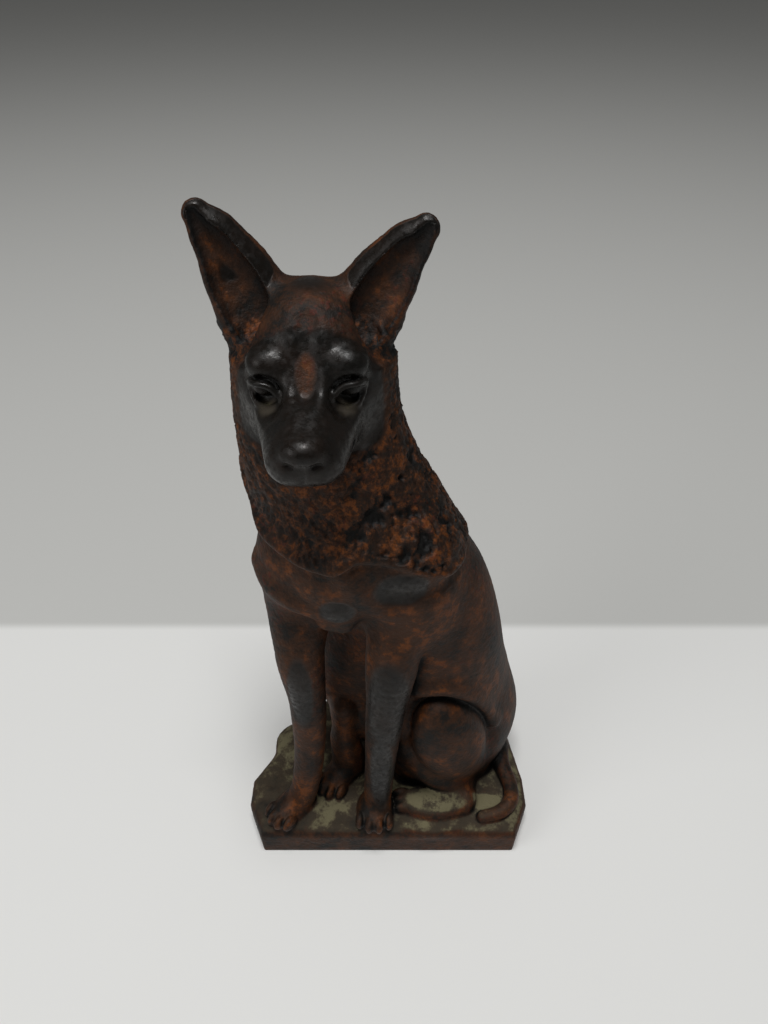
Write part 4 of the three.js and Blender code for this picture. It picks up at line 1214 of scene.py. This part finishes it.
@dataclass
class Casting:
    """The dog and base in one piece of iron, with its fine carving and its masks."""

    step: float = 0.4
    faces: int = 196_000
    statue: Statue = field(default_factory=Statue)
    coat: Coat = field(default_factory=Coat)
    finish: OldCastIron = field(default_factory=OldCastIron)

    def build(self, limits: tuple[Vector, Vector]) -> bpy.types.Object:
        """Builds the casting.

        Args:
            limits: The lowest and highest corners, in metres, that it keeps within.

        Returns:
            The finished object.
        """
        net = SurfaceNet(self.statue, (-35.4, -29.4, -2.2), (35.4, 25.4, 142), self.step).mesh()
        log.info("clay skin: %d points, %d faces", len(net.points), len(net.quads))
        normals, masks = self.masks(net.points)
        points = net.points
        points[points[:, 2] < 0.02, 2] = 0.0
        skin = self.mesh_object("seated_dog_skin", points, net.quads)
        for name, values in masks.items():
            layer = skin.data.attributes.new(name, "FLOAT", "POINT")
            layer.data.foreach_set("value", values.astype(np.float32))
        paths, _ = self.coat.strokes(self.statue, points, normals, masks["coat"])
        log.info("fur strokes: %d", len(paths))
        lines = self.stroke_object(paths)
        material = self.finish.material()
        fur = FurTree(material)
        raised = skin.modifiers.new("raised_fur", "NODES")
        raised.node_group = fur.tree
        fur.set(raised, Strokes=lines, Stroke_Width=0.5 * MM, Stroke_Height=0.36 * MM, Grain_Size=0.9 * MM,
                Grain_Height=0.22 * MM, Clump_Size=3.2 * MM, Clump_Depth=0.9 * MM, Seed=3)
        thin = skin.modifiers.new("thinned", "DECIMATE")
        triangles = 2 * len(net.quads)
        thin.ratio = min(1.0, self.faces / triangles)
        casting = self.applied(skin, "seated_dog_casting", limits)
        for spare in (skin, lines):
            bpy.data.objects.remove(spare, do_unlink=True)
        log.info("casting: %d faces", len(casting.data.polygons))
        return casting

    @staticmethod
    def mesh_object(name: str, points: Array, faces: Array) -> bpy.types.Object:
        """Makes a mesh object from points in millimetres and four-cornered faces."""
        mesh = bpy.data.meshes.new(name)
        mesh.vertices.add(len(points))
        mesh.vertices.foreach_set("co", (points * MM).astype(np.float32).ravel())
        mesh.loops.add(faces.size)
        mesh.loops.foreach_set("vertex_index", faces.astype(np.int32).ravel())
        mesh.polygons.add(len(faces))
        mesh.polygons.foreach_set("loop_start", np.arange(0, faces.size, 4, dtype=np.int32))
        mesh.polygons.foreach_set("use_smooth", np.ones(len(faces), bool))
        mesh.update(calc_edges=True)
        mesh.validate()
        made = bpy.data.objects.new(name, mesh)
        bpy.context.scene.collection.objects.link(made)
        return made

    @staticmethod
    def stroke_object(paths: Array) -> bpy.types.Object:
        """Makes the strokes' centre lines as edges."""
        count, steps, _ = paths.shape
        index = np.arange(count * steps).reshape(count, steps)
        edges = np.stack([index[:, :-1].ravel(), index[:, 1:].ravel()], axis=1)
        mesh = bpy.data.meshes.new("fur_strokes")
        mesh.from_pydata((paths.reshape(-1, 3) * MM).tolist(), edges.tolist(), [])
        made = bpy.data.objects.new("fur_strokes", mesh)
        bpy.context.scene.collection.objects.link(made)
        return made

    @staticmethod
    def applied(source: bpy.types.Object, name: str, limits: tuple[Vector, Vector]) -> bpy.types.Object:
        """Turns an object with modifiers into a plain mesh object inside the limits."""
        seen = source.evaluated_get(bpy.context.evaluated_depsgraph_get())
        mesh = bpy.data.meshes.new_from_object(seen)
        mesh.name = name
        flat = np.empty(len(mesh.vertices) * 3, np.float32)
        mesh.vertices.foreach_get("co", flat)
        place = np.clip(flat.reshape(-1, 3), np.array(limits[0]), np.array(limits[1]))
        mesh.vertices.foreach_set("co", place.astype(np.float32).ravel())
        mesh.polygons.foreach_set("use_smooth", np.ones(len(mesh.polygons), bool))
        mesh.update()
        made = bpy.data.objects.new(name, mesh)
        bpy.context.scene.collection.objects.link(made)
        return made

    def masks(self, points: Array) -> tuple[Array, dict[str, Array]]:
        """Measures the skin: its normals and the masks that the finish reads."""
        d = self.statue.distance(points)
        slope = self.statue.slope(points, d)
        n = slope / (np.linalg.norm(slope, axis=1)[:, None] + 1e-9)
        hollow, ridge = np.zeros(len(points)), np.zeros(len(points))
        # hollow measures how shut in each point is; the finish paints shade from it
        for reach in (0.8, 1.6, 3.0):
            hollow += (1 - np.clip(self.statue.distance(points + n * reach) / reach, 0, 1)) / 3
            ridge += (1 - np.clip(-self.statue.distance(points - n * reach) / reach, 0, 1)) / 3
        x, y, z = points.T
        above = self.statue.mane.above_edge(points)
        a, b, c = self.statue.head.stance().local(points)
        face = smooth_step((a - 1.5) / 4) * smooth_step((13 - np.abs(b)) / 3) * smooth_step((c + 12) / 3)
        ears = smooth_step((z - 126) / 3)
        coat = smooth_step((above - 0.6) / 1.2) * (1 - face) * (1 - ears) * smooth_step((132 - z) / 4)
        ear_band = ears * smooth_step((0.3 - hollow) / 0.15)
        rubbed = np.maximum(face * smooth_step((z - 96) / 6), ear_band)
        rubbed *= 0.75
        for centre, size in (((-0.2, -19, 48), (8, 6, 20)), ((-1.5, -19, 26), (4, 5, 22)), ((-9.2, -19, 75), (5, 4, 4.5)),
                             ((2.5, -18, 79), (8, 5, 6)), ((-17.5, -17, 50), (4, 5, 16)), ((20, -16, 70), (9, 9, 22))):
            rubbed = np.maximum(rubbed, 0.7 * self.spot(points, centre, size))
        frown = 0.75 * self.spot(np.stack([a, b, c], axis=1), (9, 0, 3.5), (5.5, 2.8, 5))
        rust = np.clip(1 - 0.9 * rubbed + frown - 0.5 * smooth_step((9.5 - z) / 2), 0, 1)
        rubbed = rubbed * (1 - 0.8 * frown)
        crown = smooth_step((4.5 - a) / 3) * smooth_step((z - 121) / 3)
        coat = coat * (1 - crown)
        ruff = coat * (0.25 + 0.75 * smooth_step((x + 9) / 6)) * smooth_step((112 - z) / 8)
        level = smooth_step((n[:, 2] - 0.55) / 0.3)
        dirt = level * smooth_step((12 - z) / 3) * smooth_step((z - 6) / 1.5)
        lids = self.spot(np.stack([a, np.abs(b), c], axis=1), (10.6, 5.6, -1.6), (2.2, 2.6, 1.4))
        hind_foot = smooth_step((n[:, 2] - 0.3) / 0.4) * self.spot(points, (10.5, -16.5, 11), (10, 6, 5))
        putty = smooth_step((n[:, 2] - 0.2) / 0.4) * self.spot(points, (22.2, -15.4, 9), (6, 2.6, 4))
        dirt = np.maximum.reduce([dirt, 0.8 * lids, 1.6 * hind_foot, 3 * putty])
        # less painted shade in the face's hollows
        hollow = hollow * (1 - 0.4 * face)
        free = smooth_step(z / 2)
        return n, {"coat": coat, "ruff": ruff, "free": free, "hollow": hollow, "ridge": ridge, "rubbed": rubbed, "rust": rust,
                   "dirt": dirt}

    @staticmethod
    def spot(points: Array, centre: Sequence[float], size: Sequence[float]) -> Array:
        """Returns a soft spot, 1 at its centre and 0 outside its half sizes."""
        reach = np.sqrt((((points - np.array(centre)) / np.array(size)) ** 2).sum(axis=1))
        return smooth_step(1.6 - 1.6 * reach)


# ---------------------------------------------------------------- the studio


@dataclass(frozen=True)
class Studio:
    """Card under the statue, soft light and the camera above it."""

    reach: float = 2.5
    camera: tuple[float, float, float] = (-0.001, -0.1137, 0.1724)
    look_down: float = 38.3
    lens: float = 27.03
    card: WhiteBoard = field(default_factory=WhiteBoard)

    def floor(self) -> bpy.types.Object:
        """Lays the flat card that the statue stands on, open to every side."""
        r = self.reach
        points = [(-r, -r, 0.0), (r, -r, 0.0), (r, r, 0.0), (-r, r, 0.0)]
        faces = [(0, 1, 2, 3)]
        mesh = bpy.data.meshes.new("white_card")
        mesh.from_pydata(points, [], faces)
        mesh.materials.append(self.card.material())
        card = bpy.data.objects.new("white_card", mesh)
        bpy.context.scene.collection.objects.link(card)
        return card

    def light(self, name: str, place: Sequence[float], aim: Sequence[float], size: float, power: float,
              colour: str = "#FFFFFF") -> None:
        """Hangs one soft square light aimed at a point."""
        lamp = bpy.data.lights.new(name, "AREA")
        lamp.size, lamp.energy, lamp.color = size, power, linear(colour)[:3]
        made = bpy.data.objects.new(name, lamp)
        made.location = place
        made.rotation_euler = (Vector(aim) - Vector(place)).to_track_quat("-Z", "Y").to_euler()
        bpy.context.scene.collection.objects.link(made)

    def build(self) -> None:
        """Sets up the card, the lights, the ambient light and the camera."""
        self.floor()
        self.light("ceiling_light", (0.0, -0.15, 1.0), (0, 0, 0.05), 0.32, 6.8)
        self.light("window_light", (-0.8, -0.5, 0.6), (0, 0, 0.08), 0.6, 2.6)
        world = bpy.data.worlds.new("room")
        world.use_nodes = True
        world.node_tree.nodes["Background"].inputs["Color"].default_value = linear("#F4F4F2")
        world.node_tree.nodes["Background"].inputs["Strength"].default_value = 0.14
        bpy.context.scene.world = world
        bpy.context.scene.view_settings.view_transform = "Standard"
        camera = bpy.data.objects.new("camera", bpy.data.cameras.new("camera"))
        camera.data.sensor_fit = "AUTO"
        camera.data.sensor_width = 36.0
        camera.data.lens = self.lens
        camera.location = self.camera
        camera.rotation_euler = (math.radians(90 - self.look_down), 0, 0)
        camera.data.clip_start = 0.005
        bpy.context.scene.collection.objects.link(camera)
        bpy.context.scene.camera = camera


def main() -> None:
    """Builds the statue and the studio and ties the statue to the frame."""
    logging.basicConfig(level=logging.INFO, format="%(name)s: %(message)s")
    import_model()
    casting = Casting(step=0.4).build(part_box("seated_dog"))
    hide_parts("seated_dog")
    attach(casting, "root")
    Studio().build()
    log.info("statue and studio are ready")


if __name__ == "__main__":
    main()
